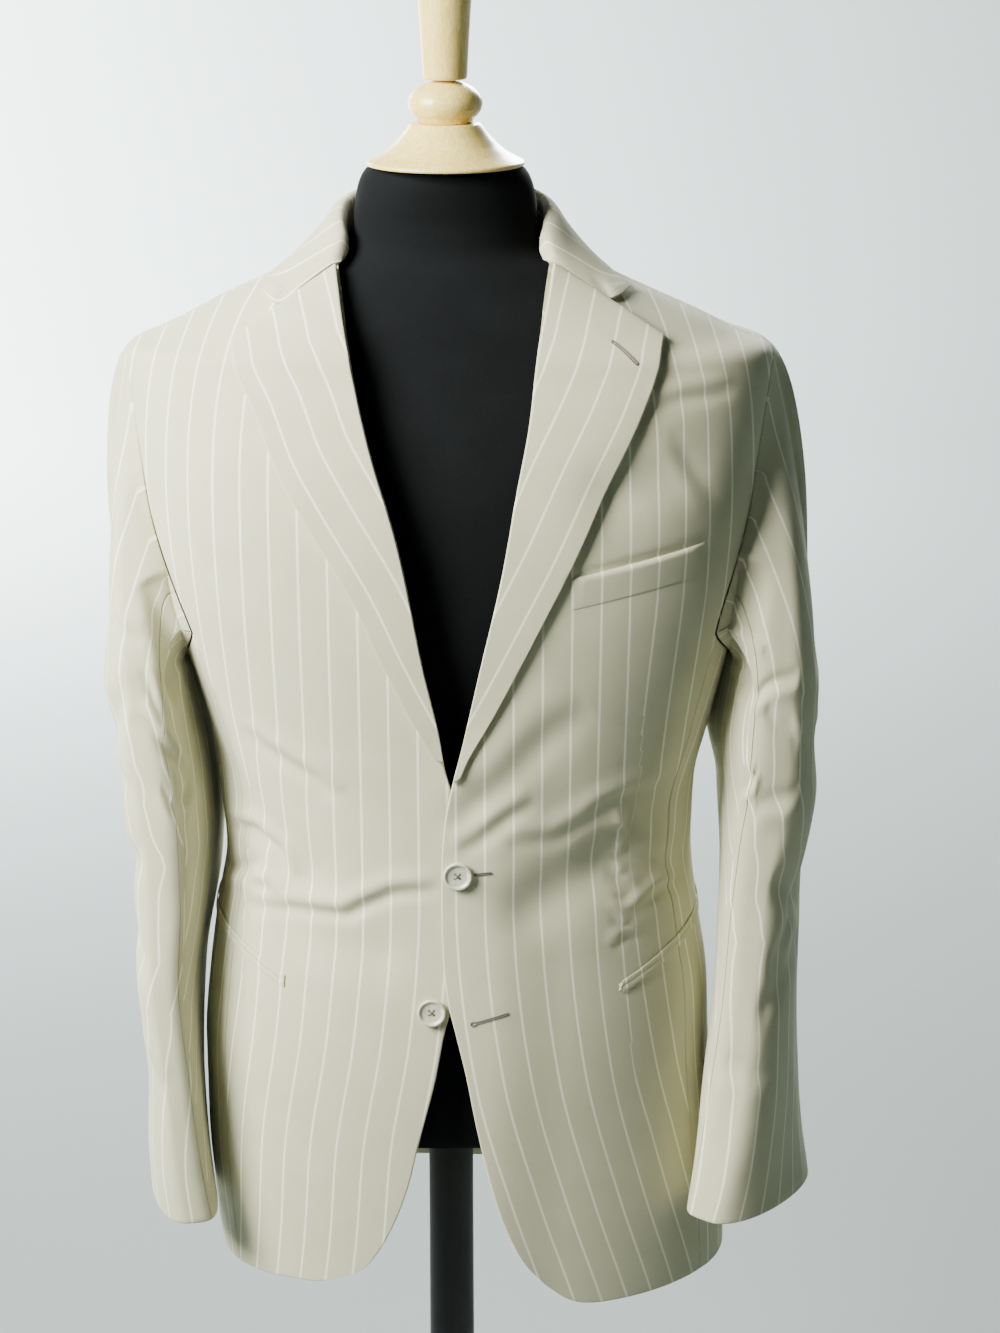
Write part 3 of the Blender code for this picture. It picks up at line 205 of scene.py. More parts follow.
# A soft fold or ridge between two places of a panel, seen from the front. Depth below the cloth is positive.
Fold = namedtuple("Fold", "x z to_x to_z depth reach")
FRONT_FOLDS = [
    Fold(-0.172, 1.070, -0.105, 1.005, 0.0055, 0.022),
    Fold(-0.110, 0.960, -0.050, 0.950, 0.0035, 0.020),
    Fold(0.062, 0.985, 0.150, 1.040, 0.0045, 0.021),
    Fold(0.115, 1.010, 0.176, 0.995, 0.0045, 0.020),
    Fold(0.115, 1.290, 0.170, 1.305, 0.0030, 0.022),
]
BACK_FOLDS = [
    Fold(-0.150, 1.060, -0.020, 1.030, 0.0045, 0.022),
    Fold(0.155, 1.070, 0.030, 1.040, 0.0045, 0.022),
    Fold(-0.110, 0.985, 0.100, 0.980, 0.0035, 0.022),
]

# A sharper crease along a few places. Lip is the height of the ridge beside it, as a share of its depth,
# on the left of its course where positive and on the right where negative.
Crease = namedtuple("Crease", "depth reach lip course")
CREASE_FADE = 0.6  # power of the fading towards both ends
LIP_AWAY = 1.7  # the ridge's distance from the course, its width and its outer limit, in reaches
LIP_WIDTH = 1.2
LIP_LIMIT = 4.0
FOLD_FADE = 2.5  # how steeply all folds and creases fade at the body's sides
FRONT_CREASES = [
    # Across the wearer's right front.
    Crease(0.0026, 0.0060, 0.9, [
        (-0.1445, 1.1086), (-0.1276, 1.0969), (-0.1103, 1.0876), (-0.0939, 1.0782), (-0.0799, 1.0642),
    ]),
    Crease(0.0030, 0.0055, 0.9, [
        (-0.1499, 0.9678), (-0.1133, 0.9748), (-0.0728, 0.9765), (-0.0568, 0.9861), (-0.0381, 0.9955),
        (-0.0046, 0.9992),
    ]),
    Crease(0.0035, 0.0055, 0.9, [
        (-0.1607, 1.0223), (-0.1427, 1.0260), (-0.1260, 1.0158), (-0.1197, 0.9973),
    ]),
    Crease(0.0030, 0.0050, -0.8, [(-0.1690, 0.9850), (-0.1480, 0.9960), (-0.1341, 1.0053)]),
    Crease(0.0020, 0.0050, 0.7, [(-0.1500, 0.9900), (-0.1330, 0.9860), (-0.1200, 0.9800)]),
    # Across the wearer's left front.
    Crease(0.0019, 0.0065, 0.9, [
        (0.0429, 1.0342), (0.0784, 1.0343), (0.0998, 1.0450), (0.1140, 1.0553), (0.1379, 1.0616),
        (0.1682, 1.0638),
    ]),
    Crease(0.0027, 0.0130, 0.6, [
        (0.0100, 1.0430), (0.0190, 1.0619), (0.0499, 1.0896), (0.0729, 1.1138), (0.1007, 1.1327),
    ]),
    Crease(0.0020, 0.0060, 0.8, [(0.0083, 1.0273), (0.0253, 1.0384), (0.0422, 1.0531), (0.0640, 1.0660)]),
    Crease(0.0018, 0.0040, 0.9, [(0.1169, 1.0009), (0.1370, 0.9842)]),
    Crease(0.0024, 0.0040, -0.9, [(0.1285, 1.0558), (0.1330, 1.0350), (0.1387, 1.0192)]),
    Crease(0.0020, 0.0040, 0.9, [(0.1143, 1.0321), (0.1289, 1.0324)]),
    Crease(0.0012, 0.0040, 0.9, [(0.1200, 0.9450), (0.1290, 0.9530), (0.1400, 0.9500)]),
    Crease(0.0013, 0.0026, 0.9, [(0.1170, 1.0440), (0.1250, 1.0350), (0.1330, 1.0380)]),
    Crease(0.0013, 0.0024, -0.9, [(0.1190, 1.0210), (0.1280, 1.0260), (0.1350, 1.0160)]),
    Crease(0.0012, 0.0024, 0.9, [(0.1185, 1.0060), (0.1265, 0.9980), (0.1350, 1.0030)]),
    Crease(0.0013, 0.0026, -0.9, [(0.1200, 0.9860), (0.1275, 0.9800), (0.1360, 0.9850)]),
    Crease(0.0012, 0.0024, 0.9, [(0.1185, 0.9680), (0.1260, 0.9610), (0.1340, 0.9650)]),
    Crease(0.0020, 0.0050, 0.9, [(0.1372, 0.9692), (0.1545, 0.9787), (0.1762, 0.9783)]),
    Crease(0.0016, 0.0050, 0.9, [(0.1400, 1.3430), (0.1660, 1.3473), (0.1989, 1.3481)]),
    Crease(0.0009, 0.0060, -0.9, [(0.1555, 1.3273), (0.1720, 1.3000), (0.1880, 1.2743)]),
    # Along the breast welt's free top.
    Crease(0.0022, 0.0022, 0.0, [(0.0810, 1.2295), (0.0870, 1.2308), (0.1800, 1.2493), (0.1860, 1.2506)]),
]
BACK_CREASES = [
    Crease(0.0028, 0.0080, 0.8, [(-0.1550, 1.0500), (-0.1150, 1.0320), (-0.0700, 1.0280)]),
    Crease(0.0028, 0.0080, -0.8, [(0.1500, 1.0560), (0.1050, 1.0400), (0.0550, 1.0380)]),
    Crease(0.0024, 0.0090, 0.8, [(-0.1300, 0.9950), (-0.0600, 0.9850), (0.0100, 0.9880), (0.0700, 0.9800)]),
    Crease(0.0020, 0.0090, -0.8, [(0.1600, 1.1750), (0.1350, 1.1450), (0.1200, 1.1050)]),
    Crease(0.0020, 0.0090, 0.8, [(-0.1650, 1.1800), (-0.1400, 1.1500), (-0.1250, 1.1000)]),
]

# Each front's edge above the hem corner, then the roll of its lapel up to the neck.
EdgePoint = namedtuple("EdgePoint", "x z")
LEFT_EDGE = [
    EdgePoint(0.0720, 0.6830),
    EdgePoint(0.0560, 0.7030),
    EdgePoint(0.0410, 0.7360),
    EdgePoint(0.0310, 0.7700),
    EdgePoint(0.0210, 0.8160),
    EdgePoint(0.0130, 0.8600),
    EdgePoint(0.0060, 0.8910),
    EdgePoint(0.0000, 0.9180),
    EdgePoint(-0.0040, 0.9800),
    EdgePoint(-0.0040, 1.0100),
    EdgePoint(-0.0015, 1.0480),
    EdgePoint(0.0040, 1.0780),
    EdgePoint(0.0120, 1.1100),
    EdgePoint(0.0240, 1.1640),
    EdgePoint(0.0390, 1.2310),
    EdgePoint(0.0490, 1.2880),
    EdgePoint(0.0575, 1.3320),
    EdgePoint(0.0640, 1.3820),
    EdgePoint(0.0700, 1.4100),
    EdgePoint(0.0785, 1.4345),
]
RIGHT_EDGE = [
    EdgePoint(-0.0840, 0.6860),
    EdgePoint(-0.0640, 0.6960),
    EdgePoint(-0.0530, 0.7100),
    EdgePoint(-0.0420, 0.7310),
    EdgePoint(-0.0300, 0.7640),
    EdgePoint(-0.0200, 0.8070),
    EdgePoint(-0.0090, 0.8510),
    EdgePoint(-0.0010, 0.8930),
    EdgePoint(0.0080, 0.9250),
    EdgePoint(0.0180, 0.9600),
    EdgePoint(0.0220, 1.0000),
    EdgePoint(0.0170, 1.0400),
    EdgePoint(0.0010, 1.0840),
    EdgePoint(-0.0050, 1.1190),
    EdgePoint(-0.0150, 1.1650),
    EdgePoint(-0.0320, 1.2540),
    EdgePoint(-0.0510, 1.3190),
    EdgePoint(-0.0600, 1.3560),
    EdgePoint(-0.0690, 1.4000),
    EdgePoint(-0.0795, 1.4345),
]
LEFT_HEM_CORNER = [EdgePoint(0.0890, 0.6690), EdgePoint(0.1030, 0.6640), EdgePoint(0.1230, 0.6630)]
RIGHT_HEM_CORNER = [EdgePoint(-0.0990, 0.6805), EdgePoint(-0.1150, 0.6790), EdgePoint(-0.1310, 0.6770)]

# Outer edge of each lapel, from close to its roll's lower end up to its tip.
LEFT_LAPEL = [
    EdgePoint(0.0095, 1.0860),
    EdgePoint(0.0150, 1.0990),
    EdgePoint(0.0310, 1.1270),
    EdgePoint(0.0600, 1.1840),
    EdgePoint(0.0860, 1.2360),
    EdgePoint(0.1090, 1.2860),
    EdgePoint(0.1330, 1.3340),
    EdgePoint(0.1450, 1.3640),
    EdgePoint(0.1500, 1.3840),
]
RIGHT_LAPEL = [
    EdgePoint(-0.0065, 1.0975),
    EdgePoint(-0.0130, 1.1090),
    EdgePoint(-0.0220, 1.1260),
    EdgePoint(-0.0400, 1.1630),
    EdgePoint(-0.0630, 1.2140),
    EdgePoint(-0.0950, 1.2690),
    EdgePoint(-0.1140, 1.3030),
    EdgePoint(-0.1280, 1.3380),
    EdgePoint(-0.1420, 1.3660),
    EdgePoint(-0.1460, 1.3820),
]
LAPEL_LOW_LEFT = 1.0830
LAPEL_LOW_RIGHT = 1.0960
LAPEL_ROLL_TOP = EdgePoint(0.0742, 1.4370)  # the roll passes over the neck edge here
GORGE_TOP = 1.4310  # where the gorge seam meets the roll
LAPEL_PROUD = 0.0022  # how much further a lapel stands out at its top
GORGE_GAP = 0.0009
LAPEL_ROWS = 112
LAPEL_COLUMNS = 42
ROLL_PLACES = 400  # places along a roll, of which the nearest to both of its ends are taken
# Places in X along the gorge seam from the stand over the roll to the notch, and how far out each is.
COLLAR_END = ((0.0718, 0.0012), (0.0750, 0.0036), (0.0792, 0.0044), (0.0965, 0.0042), (0.1130, 0.0042))
COLLAR_TIP = EdgePoint(0.1285, 1.4125)

# One half of the collar. Turns are degrees round the neck from the centre front.
CollarRow = namedtuple("CollarRow", "turn neck_height rise edge_turn edge_height")
COLLAR = [
    CollarRow(53.0, 1.4370, 0.0030, 65.0, 1.4120),
    CollarRow(62.0, 1.4430, 0.0090, 76.0, 1.4200),
    CollarRow(90.0, 1.4480, 0.0180, 95.0, 1.4290),
    CollarRow(125.0, 1.4495, 0.0250, 125.0, 1.4330),
    CollarRow(155.0, 1.4500, 0.0290, 155.0, 1.4360),
    CollarRow(180.0, 1.4500, 0.0300, 180.0, 1.4370),
]
STAND_INSET = 0.0050  # how far the collar's stand is inside the neck edge
FALL_OUT = 0.0042  # how far the fall's outer face is from the cloth under it
STAND_DROP = 0.002  # how far the stand's foot is below the neck edge
ROLL_IN_BELOW = 0.004  # the roll's inner side, below the rise
ROLL_TOP_AT = (-0.0008, 0.0012)  # the roll's top and outer side: out from the neck edge, up from the rise
ROLL_OUT_AT = (0.0042, -0.0008)
FALL_SHARES = (0.36, 0.70)  # two points on the way from the roll to the outer edge
COLLAR_COLUMNS = 208  # points round the neck
COLLAR_ACROSS = 40  # points from the stand's foot to the outer edge
COLLAR_RUN = 12  # of those, the point along whose line the stripes keep their step
LEAST_LEVEL = 0.3  # a slope flatter than this pushes the fall out no further than this one

# Sleeve rings below the underarm. Heading turns the long axis, its front end towards the body.
SleeveRing = namedtuple("SleeveRing", "height x y half_long half_thin heading")
LEFT_SLEEVE = [
    SleeveRing(1.135, 0.2355, -0.003, 0.0810, 0.0335, -6.0),
    SleeveRing(1.085, 0.2297, -0.006, 0.0800, 0.0355, -9.0),
    SleeveRing(1.045, 0.2350, -0.009, 0.0770, 0.0355, -3.0),
    SleeveRing(0.980, 0.2330, -0.014, 0.0740, 0.0310, 4.0),
    SleeveRing(0.900, 0.2310, -0.024, 0.0710, 0.0305, 8.0),
    SleeveRing(0.830, 0.2290, -0.038, 0.0680, 0.0322, 14.0),
    SleeveRing(0.770, 0.2290, -0.056, 0.0650, 0.0295, 27.0),
    SleeveRing(0.736, 0.2290, -0.067, 0.0620, 0.0285, 38.0),
]
RIGHT_SLEEVE = [
    SleeveRing(1.135, -0.2175, -0.003, 0.0830, 0.0308, -4.0),
    SleeveRing(1.085, -0.2075, -0.006, 0.0820, 0.0298, -9.0),
    SleeveRing(1.030, -0.2030, -0.010, 0.0790, 0.0305, -9.0),
    SleeveRing(0.980, -0.2018, -0.013, 0.0770, 0.0275, -8.0),
    SleeveRing(0.900, -0.2080, -0.022, 0.0740, 0.0228, -3.0),
    SleeveRing(0.830, -0.2068, -0.032, 0.0700, 0.0205, 3.0),
    SleeveRing(0.770, -0.2060, -0.041, 0.0660, 0.0230, 7.0),
    SleeveRing(0.731, -0.2030, -0.047, 0.0635, 0.0240, 10.0),
]
SLEEVE_SQUARENESS = 2.15
SLEEVE_EDGE_SQUARENESS = 4.2  # at the front, on the side towards the body
HEAD_RISE = 0.42  # how steeply the sleeve's head meets the arm, as a share of its span
HEAD_RISE_OUTER = 0.27  # the same on its outer side
HEAD_LEAVE = 0.22  # how far the head keeps the armhole's slope, as a share of its span
HEAD_LEAVE_OUTER = 0.16
HEAD_LEAN = 0.008  # how far the head's outer side leans towards the body
# Degrees by which the head leaves the body's surface at its front and back. On its outer side it is none,
# and under the arm twice that.
HEAD_TURN = 70.0
CAP_ROWS = 56
ARM_ROWS = 104
SLEEVE_FRONT_SEAM = ARMHOLE_ROWS // 8  # columns from the armhole's feet to the sleeve's seams
SLEEVE_BACK_SEAM = ARMHOLE_ROWS // 4
SIDE_RUN_ROWS = 31  # rows over which the stripes' line is evened
# Folds across a sleeve: place round it in degrees from its front, and height.
SLEEVE_FOLDS_LEFT = [
    Fold(20.0, 0.990, 80.0, 0.960, 0.0040, 0.013),
    Fold(95.0, 1.000, 30.0, 0.930, 0.0040, 0.013),
    Fold(100.0, 1.250, 60.0, 1.150, 0.0030, 0.016),
    Fold(20.0, 0.900, 70.0, 0.930, 0.0030, 0.013),
]
SLEEVE_FOLDS_RIGHT = [
    Fold(15.0, 1.130, 75.0, 1.060, 0.0040, 0.014),
    Fold(20.0, 1.010, 80.0, 0.990, 0.0045, 0.013),
    Fold(80.0, 0.960, 25.0, 0.930, 0.0040, 0.013),
    Fold(100.0, 1.260, 60.0, 1.180, 0.0030, 0.016),
]
FOLD_DEGREE = 0.00115  # length of one degree round a sleeve
# Sharper creases. Their courses are in degrees round the sleeve and height.
RIGHT_SLEEVE_CREASES = [
    Crease(0.0110, 0.0110, 0.15, [
        (-18.0, 1.2160), (-27.0, 1.1970), (-34.0, 1.1760), (-44.0, 1.1540), (-62.0, 1.1250),
    ]),
    Crease(0.0024, 0.0060, 0.8, [(-4.0, 1.1526), (-16.0, 1.1291), (-28.0, 1.1139)]),
    Crease(0.0034, 0.0060, 0.9, [(2.0, 1.1200), (-19.0, 1.1025), (-41.0, 1.0873), (-62.0, 1.0682)]),
    Crease(0.0030, 0.0050, 0.8, [(-66.0, 1.0644), (-58.0, 1.0568), (-44.0, 1.0492)]),
    Crease(0.0022, 0.0055, -0.8, [(-12.0, 1.0660), (-24.0, 1.0520), (-42.0, 1.0416)]),
    Crease(0.0016, 0.0060, 0.8, [(24.0, 1.1900), (8.0, 1.1800), (-9.0, 1.1722)]),
    Crease(0.0020, 0.0080, 0.8, [(60.0, 1.0900), (36.0, 1.0700), (14.0, 1.0600)]),
    Crease(0.0018, 0.0080, 0.8, [(120.0, 1.0800), (95.0, 1.0500), (70.0, 1.0400)]),
    Crease(0.0018, 0.0090, -0.8, [(10.0, 0.8300), (30.0, 0.8450), (60.0, 0.8500)]),
]
LEFT_SLEEVE_CREASES = [
    Crease(0.0110, 0.0110, 0.15, [
        (-16.0, 1.2280), (-25.0, 1.2070), (-34.0, 1.1840), (-46.0, 1.1560), (-62.0, 1.1250),
    ]),
    Crease(0.0018, 0.0045, 0.8, [(-36.0, 1.1860), (-27.0, 1.1777), (-16.0, 1.1740)]),
    Crease(0.0028, 0.0050, 0.9, [(-38.0, 1.1270), (-16.0, 1.1406), (8.0, 1.1500)]),
    Crease(0.0018, 0.0060, -0.9, [(-14.0, 1.1250), (0.0, 1.1101), (12.0, 1.0960)]),
    Crease(0.0026, 0.0045, 0.8, [(-48.0, 1.0568), (-26.0, 1.0700), (-41.0, 1.0796)]),
    Crease(0.0018, 0.0070, 0.8, [(-16.0, 1.0520), (2.0, 1.0580), (18.0, 1.0620)]),
    Crease(0.0020, 0.0080, -0.8, [(50.0, 1.1000), (75.0, 1.0760), (100.0, 1.0700)]),
    Crease(0.0018, 0.0090, 0.8, [(-10.0, 0.8600), (15.0, 0.8500), (40.0, 0.8450)]),
]

# Jetted pockets: turn round the body in degrees and height of each end, and the bow between them.
Slit = namedtuple("Slit", "turn height to_turn to_height bow")
POCKET_LEFT = Slit(38.3, 0.9165, 102.0, 0.9510, 0.0095)
POCKET_RIGHT = Slit(38.5, 0.9210, 102.0, 0.9520, 0.0095)
JET_WIDTH = 0.0045
JET_WALL = 0.0012
JET_CLEARANCE = 0.0008
JET_FLATTER = 0.0009  # the pressed jets lie this much lower than their solids
JET_ROUND = 0.0002  # how far a jet's middle stands out
JET_PLACES = 97
JET_ROWS = 7
WELT_LOW = (EdgePoint(0.0870, 1.2075), EdgePoint(0.1800, 1.2260))
WELT_HEIGHT = 0.0220
WELT_WALL = 0.0016
WELT_LAY = 0.0003  # its clearance from the front
WELT_SEWN = 0.0200  # over this height the welt thins to its bottom seam, and over this width to its ends
WELT_SEWN_END = 0.0080
WELT_SEWN_WALL = 0.0001  # its wall there
WELT_PLACES = 61
WELT_ROWS = 17

BUTTON_RADIUS = 0.0105
BUTTON_THICK = 0.0040
BUTTON_RIM = 0.0022
# Distance in from the edge in rims, and height in thicknesses, from the dish over the rim to the back.
BUTTON_PROFILE = [
    (1.50, 0.62), (0.90, 0.95), (0.45, 1.00), (0.10, 0.85), (0.00, 0.50), (0.57, 0.12), (1.19, 0.00),
]
HOLE_OUT = 0.0017  # a button's hole from its centre, in each direction
HOLE_RADIUS = 0.0009
HOLE_SIDES = 20
THREAD_RADIUS = 0.00042
THREAD_SIDES = 10
THREAD_PLACES = 25
THREAD_SWELL = 0.18  # a thread's stitches stand out by this share of its radius
THREAD_WAVES = 6
THREAD_SINK = 0.0014  # how far its ends go down into the holes
HOLE_STITCH = 0.00062  # half the width of a buttonhole's slit
HOLE_THREAD_RADIUS = 0.85 * HOLE_STITCH
HOLE_THREAD_SWELL = 0.22
HOLE_THREAD_WAVES = 46
HOLE_PLACES = 60  # places along each of its sides, and round each of its ends
HOLE_END_PLACES = 10
HOLE_EYE_LENGTH = 0.0026  # length of the taper from a buttonhole's round eye
TACK_OUT = 0.0004  # how far a tack's thread is out from the cloth
TACK_RADIUS = 0.0005
TACK_RISE = 0.9  # how much further its middle stands out, in radii
TACK_PLACES = 13
TUBE_SIDES = 8
TUBE_END = 0.35  # the ends of a thread that isn't closed are drawn in to this share of its radius
BUTTON_UPPER = EdgePoint(0.0080, 1.0120)
BUTTON_LOWER = EdgePoint(-0.0110, 0.9070)


class Curve:
    """A table's columns as smooth functions of its first column, with no overshoot."""

    def __init__(self, rows):
        table = np.array([tuple(row) for row in rows], float)
        self.place = table[:, 0]
        self.value = table[:, 1:]
        step = np.diff(self.place)[:, None]
        rise = np.diff(self.value, axis=0) / step
        slope = np.zeros_like(self.value)
        slope[1:-1] = 0.5 * (rise[:-1] + rise[1:])
        slope[0], slope[-1] = rise[0], rise[-1]
        limit = 3.0 * np.minimum(np.abs(rise[:-1]), np.abs(rise[1:]))
        turning = rise[:-1] * rise[1:] <= 0
        inner = np.clip(slope[1:-1], -limit, limit)
        slope[1:-1] = np.where(turning, 0.0, inner)
        self.slope = slope

    def __call__(self, at):
        at = np.clip(np.asarray(at, float), self.place[0], self.place[-1])
        low = np.clip(np.searchsorted(self.place, at, side="right") - 1, 0, len(self.place) - 2)
        width = (self.place[low + 1] - self.place[low])[..., None]
        part = (at - self.place[low])[..., None] / width
        start, end = self.value[low], self.value[low + 1]
        ease = part * part * (3.0 - 2.0 * part)
        lead = part * (1.0 - part) ** 2 * width * self.slope[low]
        trail = part * part * (1.0 - part) * width * self.slope[low + 1]
        return start * (1.0 - ease) + end * ease + lead - trail


def along(points):
    """A smooth curve through points, by share of its length."""
    table = np.array([tuple(point) for point in points], float)
    length = np.concatenate([[0.0], np.cumsum(np.linalg.norm(np.diff(table, axis=0), axis=1))])
    return Curve(np.column_stack([length / length[-1], table]))


JACKET_CURVE = Curve(JACKET)
FORM_CURVE = Curve(FORM)


def ring_point(curve, turn, height):
    """Point of a ringed body. Turn 0 is the centre front, and it grows towards +X."""
    right, left, front, back, squareness = np.moveaxis(curve(height), -1, 0)
    across, ahead = np.sin(turn), np.cos(turn)
    width = np.where(across > 0, left, right)
    depth = np.where(ahead > 0, front, back)
    x = width * np.sign(across) * np.abs(across) ** (2.0 / squareness)
    y = -depth * np.sign(ahead) * np.abs(ahead) ** (2.0 / squareness)
    return np.stack([x, y, np.broadcast_to(height, x.shape)], axis=-1)


def eased(share):
    """A share from 0 to 1 that starts and ends level."""
    share = np.clip(share, 0.0, 1.0)
    return share * share * (3.0 - 2.0 * share)


def unit(vectors):
    """Vectors drawn to length 1."""
    length = np.linalg.norm(vectors, axis=-1, keepdims=True)
    return vectors / np.maximum(length, 1e-12)


def body_normal(turn, height):
    """Direction straight out of the jacket's ringed body."""
    nudge, lift = 0.02, 0.002
    sideways = ring_point(JACKET_CURVE, turn + nudge, height) - ring_point(JACKET_CURVE, turn - nudge, height)
    upward = ring_point(JACKET_CURVE, turn, height + lift) - ring_point(JACKET_CURVE, turn, height - lift)
    return unit(np.cross(sideways, upward))


def fold_depth(folds, x, z):
    """Sum of the soft troughs at a place."""
    total = np.zeros(np.shape(x))
    for fold in folds:
        run_x, run_z = fold.to_x - fold.x, fold.to_z - fold.z
        share = ((x - fold.x) * run_x + (z - fold.z) * run_z) / (run_x**2 + run_z**2)
        share = np.clip(share, 0.0, 1.0)
        gap = np.hypot(x - fold.x - share * run_x, z - fold.z - share * run_z)
        total += fold.depth * np.exp(-((gap / fold.reach) ** 2))
    return total


def crease_depth(creases, x, z):
    """Sum of the sharper creases at a place, each fading out at its ends."""
    total = np.zeros(np.shape(x))
    for crease in creases:
        course = np.array(crease.course)
        runs = np.diff(course, axis=0)
        lengths = np.linalg.norm(runs, axis=1)
        starts = np.concatenate([[0.0], np.cumsum(lengths)])
        nearest = np.full(np.shape(x), np.inf)
        beside = np.zeros(np.shape(x))
        share = np.zeros(np.shape(x))
        for (x0, z0), (run_x, run_z), length, start in zip(course, runs, lengths, starts):
            part = np.clip(((x - x0) * run_x + (z - z0) * run_z) / length**2, 0.0, 1.0)
            gap_x, gap_z = x - x0 - part * run_x, z - z0 - part * run_z
            gap = np.hypot(gap_x, gap_z)
            closer = gap < nearest
            nearest = np.where(closer, gap, nearest)
            turned_left = np.sign(run_x * gap_z - run_z * gap_x)
            beside = np.where(closer, gap * turned_left, beside)
            share = np.where(closer, (start + part * length) / starts[-1], share)
        fade = np.clip(4.0 * share * (1.0 - share), 0.0, 1.0) ** CREASE_FADE
        trough = np.exp(-((nearest / crease.reach) ** 2))
        lip_place = np.sign(crease.lip) * LIP_AWAY * crease.reach
        lip = abs(crease.lip) * np.exp(-(((beside - lip_place) / (LIP_WIDTH * crease.reach)) ** 2))
        lip = np.where(nearest < LIP_LIMIT * crease.reach, lip, 0.0)
        total += crease.depth * fade * (trough - lip)
    return total


def cloth_point(turn, height, out=0.0):
    """Point of the jacket's folded outer face, moved out along its normal."""
    turn, height = np.broadcast_arrays(np.asarray(turn, float), np.asarray(height, float))
    base = ring_point(JACKET_CURVE, turn, height)
    front = np.cos(turn) > 0
    x, z = base[..., 0], base[..., 2]
    ahead = fold_depth(FRONT_FOLDS, x, z) + crease_depth(FRONT_CREASES, x, z)
    behind = fold_depth(BACK_FOLDS, x, z) + crease_depth(BACK_CREASES, x, z)
    sunk = np.where(front, ahead, behind) * np.minimum(1.0, np.abs(np.cos(turn)) * FOLD_FADE)
    return base + body_normal(turn, height) * (out - sunk)[..., None]


def turn_of_x(x, height):
    """Turn at which the front of the body has this X."""
    right, left, _, _, squareness = np.moveaxis(JACKET_CURVE(height), -1, 0)
    width = np.where(np.asarray(x) > 0, left, right)
    return np.sign(x) * np.arcsin(np.clip(np.abs(x) / width, 0, 1) ** (squareness / 2.0))


def turn_of_y(y, height, side):
    """Turn at which the body has this Y, on the side +1 or -1."""
    _, _, front, back, squareness = np.moveaxis(JACKET_CURVE(height), -1, 0)
    depth = np.where(np.asarray(y) < 0, front, back)
    ahead = -np.sign(y) * np.clip(np.abs(y) / depth, 0, 1) ** (squareness / 2.0)
    return side * np.arccos(ahead)


def overlap_lift(x, z):
    """How far the left front stands out over the right one."""
    beside = eased((x - OVERLAP_BESIDE) / OVERLAP_FADE)
    above = eased((z - OVERLAP_ABOVE) / OVERLAP_FADE)
    return OVERLAP_LIFT * (1.0 - beside) * (1.0 - above)


def armhole_outline(share, side):
    """Turn and height on the armhole, from its front foot (0) over the tip (0.5) to its back foot (1)."""
    share = np.asarray(share, float)
    ahead = share <= 0.5
    part = np.where(ahead, share * 2.0, (1.0 - share) * 2.0)
    foot = np.where(ahead, ARMHOLE_FRONT_FOOT, ARMHOLE_BACK_FOOT)
    height = foot + (SHOULDER_TIP - foot) * np.sin(part * math.pi / 2) ** ARMHOLE_HEIGHT_POWER
    reach = np.where(ahead, ARMHOLE_FRONT, ARMHOLE_BACK)
    y = reach * np.cos(part * math.pi / 2) ** ARMHOLE_DEPTH_POWER
    foot_turn = np.radians(np.where(ahead, FRONT_SEAM_TURN, BACK_SEAM_TURN))
    turn = np.abs(turn_of_y(y, height, 1.0))
    blend = eased(part / ARMHOLE_BLEND)
    return side * (foot_turn * (1.0 - blend) + turn * blend), height


def underarm_outline(share, side):
    """Turn and height from the armhole's front foot to its back foot, under the arm."""
    start_turn, start_height = armhole_outline(0.0, 1.0)
    end_turn, end_height = armhole_outline(1.0, 1.0)
    share = np.asarray(share, float)
    turn = start_turn + (end_turn - start_turn) * share
    level = start_height + (end_height - start_height) * share
    drop = 0.5 * (start_height + end_height) - ARMHOLE_LOW
    height = level - drop * np.sin(share * math.pi) ** UNDERARM_POWER
    return side * turn, height


def seam_line(turn, hem, foot_height, rows, side):
    """A seam from the hem up to the armhole, as turns and heights."""
    share = np.linspace(0.0, 1.0, rows + 1)
    height = hem + (foot_height - hem) * share
    return np.full(rows + 1, side * math.radians(turn)), height


def coons(bottom, top, left, right):
    """Places inside four outlines, each an array of two coordinates a row."""
    columns, rows = len(bottom), len(left)
    u = np.linspace(0.0, 1.0, columns)[None, :, None]
    v = np.linspace(0.0, 1.0, rows)[:, None, None]
    across = left[:, None, :] * (1 - u) + right[:, None, :] * u
    upright = bottom[None] * (1 - v) + top[None] * v
    corners = (
        bottom[0] * (1 - u) * (1 - v)
        + bottom[-1] * u * (1 - v)
        + top[0] * (1 - u) * v
        + top[-1] * u * v
    )
    return across + upright - corners


def to_plane(outline):
    """Turns and heights as X and Z."""
    points = ring_point(JACKET_CURVE, outline[..., 0], outline[..., 1])
    return points[..., [0, 2]]


def from_plane(places, side, ahead):
    """X and Z as turns and heights, on the body's front (ahead) or back."""
    right, left, _, _, squareness = np.moveaxis(JACKET_CURVE(places[..., 1]), -1, 0)
    width = left if side > 0 else right
    turn = np.arcsin(np.clip(np.abs(places[..., 0]) / width, 0, 1) ** (squareness / 2.0))
    turn = np.where(side * places[..., 0] < 0, -turn, turn)
    if not ahead:
        turn = math.pi - turn
    return np.stack([side * turn, places[..., 1]], axis=-1)


def row_shares(right):
    """Each row's share of the height, as on the side seam and armhole, where rows crowd at the shoulder."""
    return (right[:, 1] - right[0, 1]) / (right[-1, 1] - right[0, 1])


def join_outline(*pieces):
    """Outlines end to end, each later piece without its first point."""
    rows = [np.column_stack(piece) for piece in pieces]
    return np.vstack([rows[0]] + [row[1:] for row in rows[1:]])


